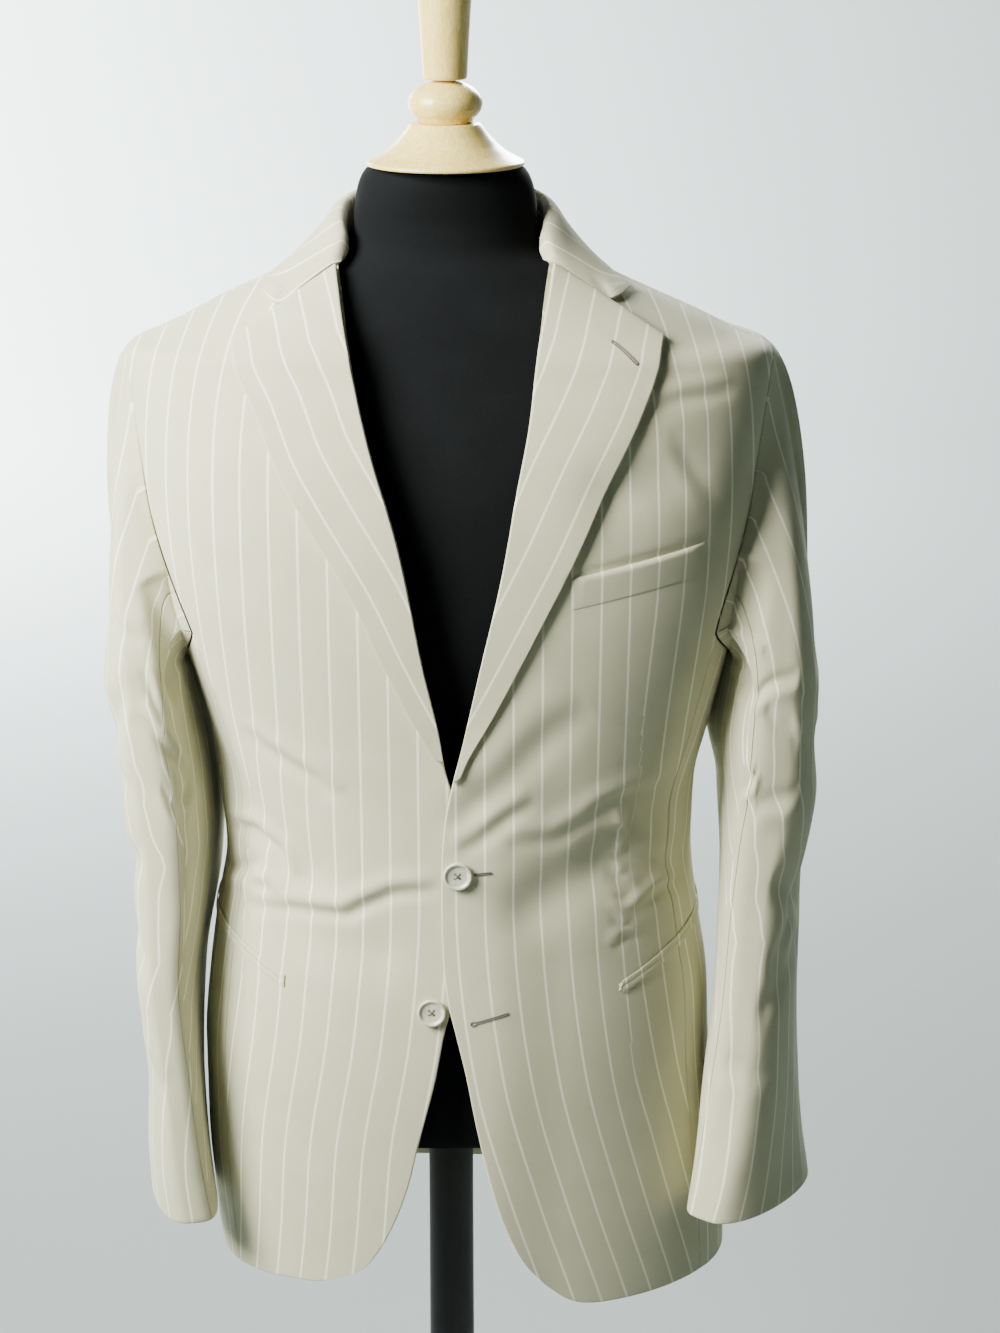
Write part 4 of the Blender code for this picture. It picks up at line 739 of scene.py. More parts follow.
def right_boundary(side, hem, seam_turn, ahead):
    """Side seam and armhole of a front (ahead) or a back."""
    foot = 0.0 if ahead else 1.0
    _, foot_height = armhole_outline(foot, side)
    seam = seam_line(seam_turn, hem, float(foot_height), SEAM_ROWS, side)
    shares = np.linspace(foot, 0.5, ARMHOLE_ROWS + 1)
    return join_outline(seam, armhole_outline(shares, side))


def shoulder_outline(side):
    """Shoulder seam from the neck to the tip."""
    share = np.linspace(0.0, 1.0, SHOULDER_COLUMNS + 1)
    height = NECK_POINT + (SHOULDER_TIP - NECK_POINT) * share
    return np.full(SHOULDER_COLUMNS + 1, side * math.pi / 2), height


def neck_run(start_turn, start_height, side, columns):
    """Neck edge from a place to the shoulder's neck point."""
    share = np.linspace(0.0, 1.0, columns + 1)
    turn = start_turn + (side * math.pi / 2 - start_turn) * share
    height = start_height + (NECK_POINT - start_height) * share
    return turn, height


def front_outline(side, edge, corner, hem):
    """Turns and heights over a front, from its edge and roll to the side seam and armhole."""
    right = to_plane(right_boundary(side, hem, FRONT_SEAM_TURN, True))
    left = along(edge)(row_shares(right))
    start_turn = turn_of_x(left[-1][0], left[-1][1])
    neck = neck_run(start_turn, left[-1][1], side, NECK_COLUMNS_FRONT)
    top = to_plane(join_outline(neck, shoulder_outline(side)))
    top[0] = left[-1]
    hem_points = [edge[0]] + list(corner) + [EdgePoint(*right[0])]
    bottom = along(hem_points)(np.linspace(0.0, 1.0, len(top)))
    return from_plane(coons(bottom, top, left, right), side, True)


def back_outline(side, hem):
    """Turns and heights over one half of the back."""
    right = to_plane(right_boundary(side, hem, BACK_SEAM_TURN, False))
    neck = neck_run(side * math.pi, BACK_NECK, side, NECK_COLUMNS_BACK)
    top = to_plane(join_outline(neck, shoulder_outline(side)))
    height = HEM_BACK + (BACK_NECK - HEM_BACK) * row_shares(right)
    left = np.column_stack([np.zeros(len(right)), height])
    top[0] = left[-1]
    spread = np.linspace(0.0, 1.0, len(top))
    bottom = np.column_stack([right[0][0] * spread, HEM_BACK + (hem - HEM_BACK) * spread])
    return from_plane(coons(bottom, top, left, right), side, False)


def side_outline(side, hem):
    """Turns and heights over the panel under an arm."""
    _, front_foot = armhole_outline(0.0, side)
    _, back_foot = armhole_outline(1.0, side)
    left = np.column_stack(seam_line(FRONT_SEAM_TURN, hem, float(front_foot), SEAM_ROWS, side))
    right = np.column_stack(seam_line(BACK_SEAM_TURN, hem, float(back_foot), SEAM_ROWS, side))
    share = np.linspace(0.0, 1.0, UNDERARM_COLUMNS + 1)
    top = np.column_stack(underarm_outline(share, side))
    bottom = left[0] + (right[0] - left[0]) * share[:, None]
    return coons(bottom, top, left, right)


def inset(grid, sides="lrbt"):
    """The grid with its outer rows and columns drawn in by half a seam gap."""
    grid = grid.copy()
    moved = grid.copy()
    if "l" in sides:
        moved[:, 0] += unit(grid[:, 1] - grid[:, 0]) * SEAM
    if "r" in sides:
        moved[:, -1] += unit(grid[:, -2] - grid[:, -1]) * SEAM
    if "b" in sides:
        moved[0] += unit(grid[1] - grid[0]) * SEAM
    if "t" in sides:
        moved[-1] += unit(grid[-2] - grid[-1]) * SEAM
    return moved


def pushed_out(points, side):
    """Points moved away from the neck's axis until they clear the shoulder's cloth."""
    moved = []
    for point in points:
        height = float(point[2])
        right, left, front, back, squareness = JACKET_CURVE(np.float64(height))
        width = left if side > 0 else right
        depth = front if point[1] < 0 else back
        reach = abs(point[0] / width) ** squareness + abs(point[1] / depth) ** squareness
        reach = reach ** (1 / squareness)
        across = abs(point[0] / width / reach) ** (squareness / 2)
        turn = side * math.asin(min(across, 1.0))
        turn = turn if point[1] < 0 else side * math.pi - turn
        level = math.hypot(*body_normal(np.float64(turn), np.float64(height))[:2])
        spread = math.hypot(point[0], point[1])
        need = 1.0 + FALL_OUT / max(level, LEAST_LEVEL) / spread
        scale = max(1.0, need / reach)
        moved.append(np.array([point[0] * scale, point[1] * scale, height]))
    return moved


def gorge_height(x, side):
    """Height of the gorge seam at a distance from the centre, from the roll to the lapel's tip."""
    edge = LEFT_LAPEL if side > 0 else RIGHT_LAPEL
    start, tip = LAPEL_ROLL_TOP.x, edge[-1]
    return GORGE_TOP + (tip.z - GORGE_TOP) * (x - start) / (abs(tip.x) - start)


def collar_end(side):
    """The fall's points along the gorge seam and out to the collar's tip."""
    places = [(side * x, gorge_height(x, side) + GORGE_GAP, out) for x, out in COLLAR_END]
    places.append((side * COLLAR_TIP.x, COLLAR_TIP.z, FALL_OUT))
    return [cloth_point(turn_of_x(x, z), z, out) for x, z, out in places]


def collar_station(row, side, end_share):
    """Seven points across the collar, from the stand's foot over the roll to the outer edge."""
    neck_turn, neck_height, rise, edge_turn, edge_height = row
    foot = ring_point(JACKET_CURVE, side * math.radians(neck_turn), np.float64(neck_height))
    away = unit(np.array([foot[0], foot[1], 0.0]))
    up = np.array([0.0, 0.0, 1.0])
    low = foot - away * STAND_INSET - up * STAND_DROP
    roll_in = foot - away * STAND_INSET + up * max(rise - ROLL_IN_BELOW, 0.0)
    roll_top = foot + away * ROLL_TOP_AT[0] + up * (rise + ROLL_TOP_AT[1])
    roll_out = foot + away * ROLL_OUT_AT[0] + up * (rise + ROLL_OUT_AT[1])
    edge = cloth_point(side * math.radians(edge_turn), edge_height, FALL_OUT)
    near = roll_out + (edge - roll_out) * FALL_SHARES[0]
    far = roll_out + (edge - roll_out) * FALL_SHARES[1]
    upper = [roll_in, roll_top, roll_out] + pushed_out([near, far], side) + [edge]
    if end_share > 0:
        upper = [a * (1 - end_share) + b * end_share for a, b in zip(upper, collar_end(side))]
    return [low] + upper


def armhole_ring(side):
    """Turns and heights round the armhole: up the front, down the back, then under the arm to the front."""
    front = armhole_outline(np.linspace(0.0, 0.5, ARMHOLE_ROWS + 1), side)
    back = armhole_outline(np.linspace(0.5, 1.0, ARMHOLE_ROWS + 1), side)
    under = underarm_outline(np.linspace(1.0, 0.0, UNDERARM_COLUMNS + 1), side)
    ring = join_outline(front, back, under)
    return ring[:-1]


def sleeve_section(ring, angles, side):
    """Points of one sleeve ring. Angle 0 is its front and 90 degrees its outer side."""
    height, x, y, half_long, half_thin, heading = ring
    heading = math.radians(heading) * side
    at_edge = (np.cos(angles) > 0.0) & (np.sin(angles) < 0.0)
    power = 2.0 / np.where(at_edge, SLEEVE_EDGE_SQUARENESS, SLEEVE_SQUARENESS)
    ahead = np.sign(np.cos(angles)) * np.abs(np.cos(angles)) ** power * half_long
    out = np.sign(np.sin(angles)) * np.abs(np.sin(angles)) ** power * half_thin * side
    px = x - ahead * math.sin(heading) + out * math.cos(heading)
    py = y - ahead * math.cos(heading) - out * math.sin(heading)
    return np.column_stack([px, py, np.full(len(angles), height)])


def sleeve_grid(side, table, folds):
    """Outer and inner points of the whole sleeve, from the armhole to the cuff."""
    ring = armhole_ring(side)
    sewn = cloth_point(ring[:, 0], ring[:, 1], 0.0)
    normal = body_normal(ring[:, 0], ring[:, 1])
    along_edge = unit(np.roll(sewn, -1, axis=0) - np.roll(sewn, 1, axis=0))
    into_hole = unit(np.cross(normal, along_edge))
    middle = sewn.mean(axis=0)
    into_hole *= np.sign(np.sum(into_hole * (middle - sewn), axis=1))[:, None]
    half_high = 0.5 * (sewn[:, 2].max() - sewn[:, 2].min())
    half_deep = 0.5 * (sewn[:, 1].max() - sewn[:, 1].min())
    centre_z = 0.5 * (sewn[:, 2].max() + sewn[:, 2].min())
    centre_y = 0.5 * (sewn[:, 1].max() + sewn[:, 1].min())
    angles = np.arctan2((sewn[:, 2] - centre_z) / half_high, -(sewn[:, 1] - centre_y) / half_deep)
    angles = np.unwrap(angles)
    lean = np.radians(HEAD_TURN - HEAD_TURN * np.sin(angles))
    leave = np.cos(lean)[:, None] * into_hole + np.sin(lean)[:, None] * normal
    inside = np.sin(lean)[:, None] * into_hole - np.cos(lean)[:, None] * normal
    start = sewn + into_hole * SEAM * 2.0
    curve = Curve(sorted(table))
    top = table[0]
    arm = sleeve_section(top, angles, side)
    span = np.linalg.norm(arm - start, axis=1)[:, None]
    outer_share = np.clip(np.sin(angles), 0.0, 1.0)[:, None]
    rise = HEAD_RISE + (HEAD_RISE_OUTER - HEAD_RISE) * outer_share
    keep = HEAD_LEAVE + (HEAD_LEAVE_OUTER - HEAD_LEAVE) * outer_share
    lean_in = np.array([-side * HEAD_LEAN, 0.0, 0.0]) * outer_share
    rows = [start]
    for share in np.linspace(0.0, 1.0, CAP_ROWS + 1)[1:]:
        first = start + leave * span * keep
        second = arm + np.array([0.0, 0.0, 1.0]) * span * rise + lean_in
        rows.append(
            start * (1 - share) ** 3
            + first * 3 * share * (1 - share) ** 2
            + second * 3 * share**2 * (1 - share)
            + arm * share**3
        )
    for height in np.linspace(top.height, table[-1].height, ARM_ROWS + 1)[1:]:
        values = curve(height)
        rows.append(sleeve_section((height, *values), angles, side))
    grid = np.array(rows)
    around = np.roll(grid, -1, axis=1) - np.roll(grid, 1, axis=1)
    down = np.gradient(grid, axis=0)
    face = unit(np.cross(around, down))
    axis_line = grid.mean(axis=1, keepdims=True)
    if np.sum(face[CAP_ROWS:] * (grid - axis_line)[CAP_ROWS:]) < 0:
        face = -face
    face[0] = -inside
    degrees = np.degrees(angles)[None] * np.ones((len(grid), 1))
    wrapped = (degrees + 90.0) % 360.0 - 90.0
    scaled = [fold._replace(x=fold.x * FOLD_DEGREE, to_x=fold.to_x * FOLD_DEGREE) for fold in folds]
    sharper = [
        crease._replace(lip=-crease.lip, course=[(turn * FOLD_DEGREE, z) for turn, z in crease.course])
        for crease in (LEFT_SLEEVE_CREASES if side > 0 else RIGHT_SLEEVE_CREASES)
    ]
    sunk = fold_depth(scaled, degrees * FOLD_DEGREE, grid[..., 2])
    sunk = sunk + crease_depth(sharper, wrapped * FOLD_DEGREE, grid[..., 2])
    sunk[0] = 0.0
    outer = grid - face * sunk[..., None]
    return outer, outer - face * SLEEVE_WALL


# Stripes
PITCH = 0.0203
GRAIN_TOP = 1.270  # above this height the stripes run straight up over the shoulder
GRAIN_BELOW = 0.07  # the change starts this far below it and ends this far above it
GRAIN_ABOVE = 0.02
# X of the first stripe beside the closure, from the hem up.
GRAIN_LEFT = [
    (0.660, 0.0760), (0.6794, 0.0699), (0.7489, 0.0476), (0.8515, 0.0206), (0.9932, 0.0068),
    (1.30, 0.0068),
]
GRAIN_RIGHT = [
    (0.660, -0.0560), (0.7193, -0.0484), (0.7978, -0.0416), (0.8863, -0.0269), (0.9932, -0.0195),
    (1.30, -0.0195),
]
GRAIN_SIDE = 0.175  # beyond this distance from the centre the shoulder's stripes keep an even step
GRAIN_SIDE_STRETCH = 1.25
# How far the shoulder's stripes have moved towards the neck at each height.
SHOULDER_LEAN = [
    (1.10, 0.0), (1.27, 0.0), (1.316, 0.001), (1.365, 0.007), (1.40, 0.018), (1.42, 0.030),
    (1.46, 0.050),
]
# Each front's dart: height, distance from the centre and the cloth it takes in.
DART_LEFT = [
    (0.80, 0.136, 0.0), (0.914, 0.134, 0.006), (1.01, 0.1352, 0.010), (1.10, 0.1368, 0.008),
    (1.2116, 0.138, 0.0),
]
DART_RIGHT = [
    (0.86, 0.150, 0.0), (0.962, 0.150, 0.006), (1.01, 0.147, 0.010), (1.06, 0.144, 0.007),
    (1.12, 0.143, 0.0),
]
LAPEL_FIRST = 0.0130  # the first stripe's distance from the lapel's outer edge
LAPEL_BEYOND = 8  # rows by which that edge is run on past both its ends
LAPEL_EDGE_PLACES = 600
CAP_LEVELS = 70  # level slices of a sleeve's head

# Lengths round the body, as a table of turns and heights.
GIRTH_TURNS = 721
GIRTH_HEIGHTS = np.linspace(0.640, 1.460, 165)

# Borders and edges
BORDER = 0.0013  # width over which a cloth border rounds off
BORDER_SHARE = 0.38  # how far through the wall it rounds
BORDER_MIDDLE = 0.35  # place across it of its middle line
BORDER_MIDDLE_SHARE = 0.38  # how far the middle line sinks, as a share of the outer one
SHARP_ANGLE = 60  # an edge that turns by more degrees than this is drawn sharp
DRILLED_SHARP_ANGLE = 40


def girth_table():
    """Length round the body from the centre back, for each height and turn."""
    turns = np.linspace(-math.pi, math.pi, GIRTH_TURNS)
    heights = GIRTH_HEIGHTS[:, None] * np.ones((1, GIRTH_TURNS))
    steps = np.linalg.norm(np.diff(ring_point(JACKET_CURVE, turns[None, :], heights), axis=1), axis=2)
    return np.concatenate([np.zeros((len(GIRTH_HEIGHTS), 1)), np.cumsum(steps, axis=1)], axis=1)


GIRTH = girth_table()


def girth_at(turn, height):
    """Length round the body from the centre back to a turn, at a height."""
    column = (np.asarray(turn) + math.pi) / (2 * math.pi) * (GIRTH_TURNS - 1)
    row = (np.asarray(height) - GIRTH_HEIGHTS[0]) / (GIRTH_HEIGHTS[1] - GIRTH_HEIGHTS[0])
    column = np.clip(column, 0, GIRTH_TURNS - 1.001)
    row = np.clip(row, 0, len(GIRTH_HEIGHTS) - 1.001)
    low_column, low_row = column.astype(int), row.astype(int)
    share, part = column - low_column, row - low_row
    lower = GIRTH[low_row, low_column] * (1 - share) + GIRTH[low_row, low_column + 1] * share
    upper = GIRTH[low_row + 1, low_column] * (1 - share) + GIRTH[low_row + 1, low_column + 1] * share
    return lower * (1 - part) + upper * part


def shoulder_share(height):
    """How far the stripes have changed from following the body (0) to the shoulder's run (1)."""
    return eased((height - GRAIN_TOP + GRAIN_BELOW) / (GRAIN_BELOW + GRAIN_ABOVE))


def length_at_x(x, height):
    """Length round the front from its centre to a distance from it, straight on near the side."""
    near = np.minimum(x, GRAIN_SIDE)
    turn = turn_of_x(near, height)
    centre = girth_at(np.zeros(np.shape(height)), height)
    return girth_at(turn, height) - centre + (x - near) * GRAIN_SIDE_STRETCH


def front_stripes(turn, height, side):
    """Length from a front's first stripe. Over the shoulder the stripes lean to the neck."""
    grain = Curve(GRAIN_LEFT if side > 0 else GRAIN_RIGHT)
    place = ring_point(JACKET_CURVE, turn, height)
    start = grain(height)[..., 0]
    first = girth_at(turn_of_x(start, height), height)
    round_body = (girth_at(turn, height) - first) * side
    level = np.full(np.shape(height), GRAIN_TOP)
    upper_start = side * grain(level)[..., 0]
    first_length = np.sign(upper_start) * length_at_x(np.abs(upper_start), level)
    x = side * place[..., 0]
    lean = Curve(SHOULDER_LEAN)(height)[..., 0]
    leaning = length_at_x(np.abs(x) + lean, level) * np.sign(x) - first_length
    share = shoulder_share(height)
    dart = DART_LEFT if side > 0 else DART_RIGHT
    dart_x, intake = np.moveaxis(Curve(dart)(height), -1, 0)
    taken = np.where(x > np.abs(dart_x), intake, 0.0)
    return round_body * (1 - share) + leaning * share + taken


def back_stripes(turn, height):
    """Length from the centre back. Over the shoulder the stripes run straight up."""
    whole = girth_at(np.full(np.shape(height), math.pi), height)
    length = girth_at(turn, height)
    round_body = np.minimum(length, whole - length)
    level = np.full(np.shape(height), GRAIN_TOP)
    x = np.abs(ring_point(JACKET_CURVE, turn, height)[..., 0])
    straight = length_at_x(x, level)
    share = shoulder_share(height)
    return round_body * (1 - share) + straight * share + PITCH / 2


def side_stripes(turn, height):
    """Length from the middle of the panel under the arm."""
    middle = np.sign(turn) * math.radians(0.5 * (FRONT_SEAM_TURN + BACK_SEAM_TURN))
    return girth_at(turn, height) - girth_at(middle, height)


def lapel_stripes(flat, edge_side):
    """Distance from the lapel's outer edge, which is run on past its ends."""
    below = edge_side[0] * 2 - edge_side[LAPEL_BEYOND]
    above = edge_side[-1] * 2 - edge_side[-1 - LAPEL_BEYOND]
    curve = along([below, *edge_side, above])(np.linspace(0.0, 1.0, LAPEL_EDGE_PLACES))
    gap = np.linalg.norm(flat[:, :, None, :] - curve[None, None], axis=-1)
    return gap.min(axis=-1) - LAPEL_FIRST


def add_border(data, axis):
    """Two more lines beside each border on that axis, the outermost sunk part of the way through the wall."""
    data = np.moveaxis(data, axis, 0)

    def edge(first, second):
        gap = np.linalg.norm(second[..., :3] - first[..., :3], axis=-1, keepdims=True)
        near = first + (second - first) * np.minimum(0.5, BORDER / np.maximum(gap, 1e-9))
        middle = first + (near - first) * BORDER_MIDDLE
        through = first[..., 3:6] - first[..., :3]
        first, middle = first.copy(), middle.copy()
        first[..., :3] += through * BORDER_SHARE
        middle[..., :3] += through * BORDER_SHARE * BORDER_MIDDLE_SHARE
        return first, middle, near

    low = edge(data[0], data[1])
    high = edge(data[-1], data[-2])
    data = np.concatenate([np.stack(low), data[1:-1], np.stack(high[::-1])])
    return np.moveaxis(data, 0, axis)


def cloth_wall(name, outer, inner, stripes):
    """A cloth wall between two grids of points, with the stripe's place and the height as its UV map.

    Each place's data is its outer point, its inner point and the two coordinates of the map.
    """
    data = np.concatenate([outer, inner, stripes[..., None], outer[..., 2:3]], axis=-1)
    for axis in (0, 1):
        data = add_border(data, axis)
    rows, columns = data.shape[:2]
    half = rows * columns
    points = np.concatenate([data[..., :3].reshape(-1, 3), data[..., 3:6].reshape(-1, 3)])
    index = np.arange(half).reshape(rows, columns)
    a, b, c, d = index[:-1, :-1], index[:-1, 1:], index[1:, 1:], index[1:, :-1]
    faces = [np.stack([a, b, c, d], axis=-1).reshape(-1, 4)]
    faces.append(np.stack([d, c, b, a], axis=-1).reshape(-1, 4) + half)
    around = np.concatenate([index[0, :], index[1:, -1], index[-1, -2::-1], index[-2:0:-1, 0]])
    after = np.roll(around, -1)
    faces.append(np.stack([around + half, after + half, after, around], axis=-1))
    faces = np.concatenate(faces)
    mesh = bpy.data.meshes.new(name)
    mesh.from_pydata(points.tolist(), [], faces.tolist())
    shape = bmesh.new()
    shape.from_mesh(mesh)
    if shape.calc_volume(signed=True) < 0:
        bmesh.ops.reverse_faces(shape, faces=shape.faces)
    shape.to_mesh(mesh)
    shape.free()
    spots = np.empty(len(mesh.loops), np.int32)
    mesh.loops.foreach_get("vertex_index", spots)
    both = np.concatenate([data[..., 6:8].reshape(-1, 2)] * 2)
    layer = mesh.uv_layers.new(name="stripes")
    layer.data.foreach_set("uv", both[spots].astype(np.float32).ravel())
    return add_piece(name, mesh, CLOTH_MATERIAL)


def add_piece(name, mesh, material):
    piece = bpy.data.objects.new(name, mesh)
    bpy.context.scene.collection.objects.link(piece)
    mesh.materials.append(material)
    mesh.shade_smooth()
    mesh.set_sharp_from_angle(angle=math.radians(SHARP_ANGLE))
    return piece


# Materials. Colours are linear, and a noise's scale is in waves a metre.
CLOTH = (0.600, 0.585, 0.385, 1.0)
CLOTH_DARK = (0.545, 0.530, 0.335, 1.0)
STRIPE = (0.930, 0.905, 0.665, 1.0)
STRIPE_WIDTH = 0.0018
STRIPE_STRENGTH = 0.88
STRIPE_EDGE = (0.55, 1.35)  # where a stripe starts and ends to fade, in halves of its width
TWILL_STEP = 0.0011
THREAD_STEP = 0.0007
JERSEY_DARK = (0.0030, 0.0036, 0.0038, 1.0)
JERSEY_LIGHT = (0.0060, 0.0070, 0.0072, 1.0)
WOOD_DARK = (0.850, 0.620, 0.160, 1.0)
WOOD_LIGHT = (0.970, 0.800, 0.280, 1.0)
WOOD_STRETCH = (30.0, 30.0, 4.0)  # the grain runs upwards
WOOD_RINGS = 46.0
ENAMEL_DARK = (0.0034, 0.0020, 0.0018, 1.0)
ENAMEL_LIGHT = (0.0062, 0.0040, 0.0036, 1.0)
HORN_DARK = (0.500, 0.490, 0.350, 1.0)
HORN_LIGHT = (0.660, 0.655, 0.500, 1.0)
THREAD_DARK = (0.105, 0.096, 0.072, 1.0)
THREAD_LIGHT = (0.175, 0.162, 0.122, 1.0)
TACK_DARK = (0.720, 0.690, 0.540, 1.0)
TACK_LIGHT = (0.830, 0.800, 0.650, 1.0)


class Nodes:
    """Short calls for a material's node tree."""

    def __init__(self, name, surface):
        self.material = bpy.data.materials.new(name)
        self.material.use_nodes = True
        self.tree = self.material.node_tree
        self.shader = self.tree.nodes["Principled BSDF"]
        for key, value in surface.items():
            self.shader.inputs[key].default_value = value

    def node(self, kind, inputs=(), **settings):
        made = self.tree.nodes.new("ShaderNode" + kind)
        for key, value in settings.items():
            setattr(made, key, value)
        for key, value in dict(inputs).items():
            if isinstance(value, bpy.types.NodeSocket):
                self.tree.links.new(value, made.inputs[key])
            else:
                made.inputs[key].default_value = value
        return made

    def place(self):
        return self.node("TexCoord").outputs["Object"]

    def maths(self, operation, first, second=0.0, third=0.0):
        inputs = {0: first, 1: second, 2: third}
        return self.node("Math", inputs, operation=operation).outputs[0]

    def wave(self, value, step):
        return self.maths("SINE", self.maths("MULTIPLY", value, 2 * math.pi / step))

    def mix(self, share, first, second):
        """A colour between two. A mix node keeps its sockets for colours at these places."""
        inputs = {0: share, 6: first, 7: second}
        return self.node("Mix", inputs, data_type="RGBA").outputs[2]

    def noise(self, place, scale, detail=2.0, roughness=0.5):
        inputs = {"Vector": place, "Scale": scale, "Detail": detail, "Roughness": roughness}
        return self.node("TexNoise", inputs).outputs["Fac"]

    def steps(self, value, low, high):
        inputs = {"Value": value, "From Min": low, "From Max": high}
        return self.node("MapRange", inputs, interpolation_type="SMOOTHSTEP").outputs["Result"]

    def bump(self, height, distance, strength):
        made = self.node("Bump", {"Height": height, "Distance": distance, "Strength": strength})
        self.tree.links.new(made.outputs["Normal"], self.shader.inputs["Normal"])

    def colour(self, socket):
        self.tree.links.new(socket, self.shader.inputs["Base Color"])


def suiting():
    """Woven wool with a narrow pale stripe along the UV map's first axis."""
    surface = {"Roughness": 0.88, "Sheen Weight": 0.22, "Sheen Roughness": 0.55, "Specular IOR Level": 0.22}
    make = Nodes("suit_cloth", surface)
    place = make.node("UVMap", uv_map="stripes").outputs["UV"]
    split = make.node("SeparateXYZ", {"Vector": place})
    across, up = split.outputs["X"], split.outputs["Y"]
    turns = make.maths("MULTIPLY_ADD", across, 1.0 / PITCH, 0.5)
    offset = make.maths("ABSOLUTE", make.maths("SUBTRACT", make.maths("FRACT", turns), 0.5))
    edge = STRIPE_WIDTH / 2 / PITCH
    ground_share = make.steps(offset, edge * STRIPE_EDGE[0], edge * STRIPE_EDGE[1])
    stripe = make.maths("SUBTRACT", 1.0, ground_share)
    fine = make.noise(place, 900.0)
    broad = make.noise(place, 34.0, 3.0)
    twill = make.wave(make.maths("ADD", across, up), TWILL_STEP)
    threads = make.wave(across, THREAD_STEP)
    weave = make.maths("MULTIPLY_ADD", twill, 0.5, make.maths("MULTIPLY_ADD", threads, 0.3, fine))
    shade = make.maths("MULTIPLY_ADD", fine, 0.55, make.maths("MULTIPLY", broad, 0.45))
    ground = make.mix(make.steps(shade, 0.30, 0.70), CLOTH_DARK, CLOTH)
    make.colour(make.mix(make.maths("MULTIPLY", stripe, STRIPE_STRENGTH), ground, STRIPE))
    make.bump(weave, 0.00018, 0.55)
    return make.material


def jersey():
    surface = {"Roughness": 0.95, "Sheen Weight": 0.02, "Sheen Roughness": 0.4, "Specular IOR Level": 0.12}
    make = Nodes("form_jersey", surface)
    place = make.place()
    make.colour(make.mix(make.noise(place, 26.0, 3.0), JERSEY_DARK, JERSEY_LIGHT))
    make.bump(make.noise(place, 1400.0), 0.0002, 0.5)
    return make.material


def wood():
    make = Nodes("varnished_wood", {"Roughness": 0.32, "Coat Weight": 0.5, "Coat Roughness": 0.18})
    stretched = make.node("Mapping", {"Vector": make.place(), "Scale": WOOD_STRETCH}).outputs["Vector"]
    grain = make.noise(stretched, 6.0, 5.0, 0.65)
    rings = make.maths("SINE", make.maths("MULTIPLY", grain, WOOD_RINGS))
    mix = make.maths("MULTIPLY_ADD", rings, 0.22, grain)
    make.colour(make.mix(make.steps(mix, 0.25, 0.85), WOOD_DARK, WOOD_LIGHT))
    make.bump(grain, 0.0002, 0.2)
    return make.material


def enamel():
    make = Nodes("black_enamel", {"Roughness": 0.48})
    place = make.place()
    make.colour(make.mix(make.noise(place, 60.0, 3.0), ENAMEL_DARK, ENAMEL_LIGHT))
    make.bump(make.noise(place, 420.0), 0.0001, 0.3)
    return make.material


def horn():
    make = Nodes("button_horn", {"Roughness": 0.34, "Coat Weight": 0.25, "Coat Roughness": 0.15})
    cloud = make.noise(make.place(), 260.0, 4.0, 0.6)
    make.colour(make.mix(make.steps(cloud, 0.3, 0.7), HORN_DARK, HORN_LIGHT))
    make.bump(cloud, 0.0001, 0.2)
    return make.material


def thread(name, dark, light):
    make = Nodes(name, {"Roughness": 0.8})
    place = make.place()
    make.colour(make.mix(make.noise(place, 1800.0), dark, light))
    make.bump(make.noise(place, 2600.0), 0.0002, 0.6)
    return make.material


CLOTH_MATERIAL = suiting()
THREAD = thread("hole_thread", THREAD_DARK, THREAD_LIGHT)
PALE_THREAD = thread("tack_thread", TACK_DARK, TACK_LIGHT)
JERSEY = jersey()
WOOD = wood()
ENAMEL = enamel()
HORN = horn()


# Pieces
def panel(name, outline, stripes, over=False):
    """A panel of the body. The one that lies over the other front stands out there."""
    turn, height = outline[..., 0], outline[..., 1]
    lift = 0.0
    if over:
        place = ring_point(JACKET_CURVE, turn, height)
        lift = overlap_lift(place[..., 0], place[..., 2])
    outer = inset(cloth_point(turn, height, lift))
    inner = inset(cloth_point(turn, height, lift - WALL))
    return cloth_wall(name, outer, inner, stripes)


def lapel(name, side, edge, roll, roll_low, over):
    """A lapel between its roll and its outer edge, ending at the gorge."""
    roll = roll[:-1] + [EdgePoint(side * LAPEL_ROLL_TOP.x, LAPEL_ROLL_TOP.z)]
    roll_points = [point for point in roll if roll_low < point.z < GORGE_TOP]
    first = along(roll)(np.linspace(0, 1, ROLL_PLACES))
    start = first[np.argmin(np.abs(first[:, 1] - roll_low))]
    end = first[np.argmin(np.abs(first[:, 1] - GORGE_TOP))]
    inside = [EdgePoint(*start)] + roll_points + [EdgePoint(*end)]
    share = np.linspace(0.0, 1.0, LAPEL_ROWS + 1)
    roll_side = along(inside)(share)
    edge_side = along(edge)(share)
    part = np.linspace(0.0, 1.0, LAPEL_COLUMNS + 1)[None, :, None]
    flat = roll_side[:, None] * (1 - part) + edge_side[:, None] * part
    turn = turn_of_x(flat[..., 0], flat[..., 1])
    lift = overlap_lift(flat[..., 0], flat[..., 1]) if over else 0.0
    clear = lift + LAY + LAPEL_PROUD * share[:, None] * np.ones(LAPEL_COLUMNS + 1)
    outer = inset(cloth_point(turn, flat[..., 1], clear + LAPEL_WALL))
    inner = inset(cloth_point(turn, flat[..., 1], clear))
    return cloth_wall(name, outer, inner, lapel_stripes(flat, edge_side))


def refined(grid, columns):
    """More points across a grid's second axis, along smooth curves."""
    made = []
    for row in grid:
        length = np.concatenate([[0.0], np.cumsum(np.linalg.norm(np.diff(row, axis=0), axis=1))])
        made.append(Curve(np.column_stack([length / length[-1], row]))(np.linspace(0.0, 1.0, columns)))
    return np.array(made)


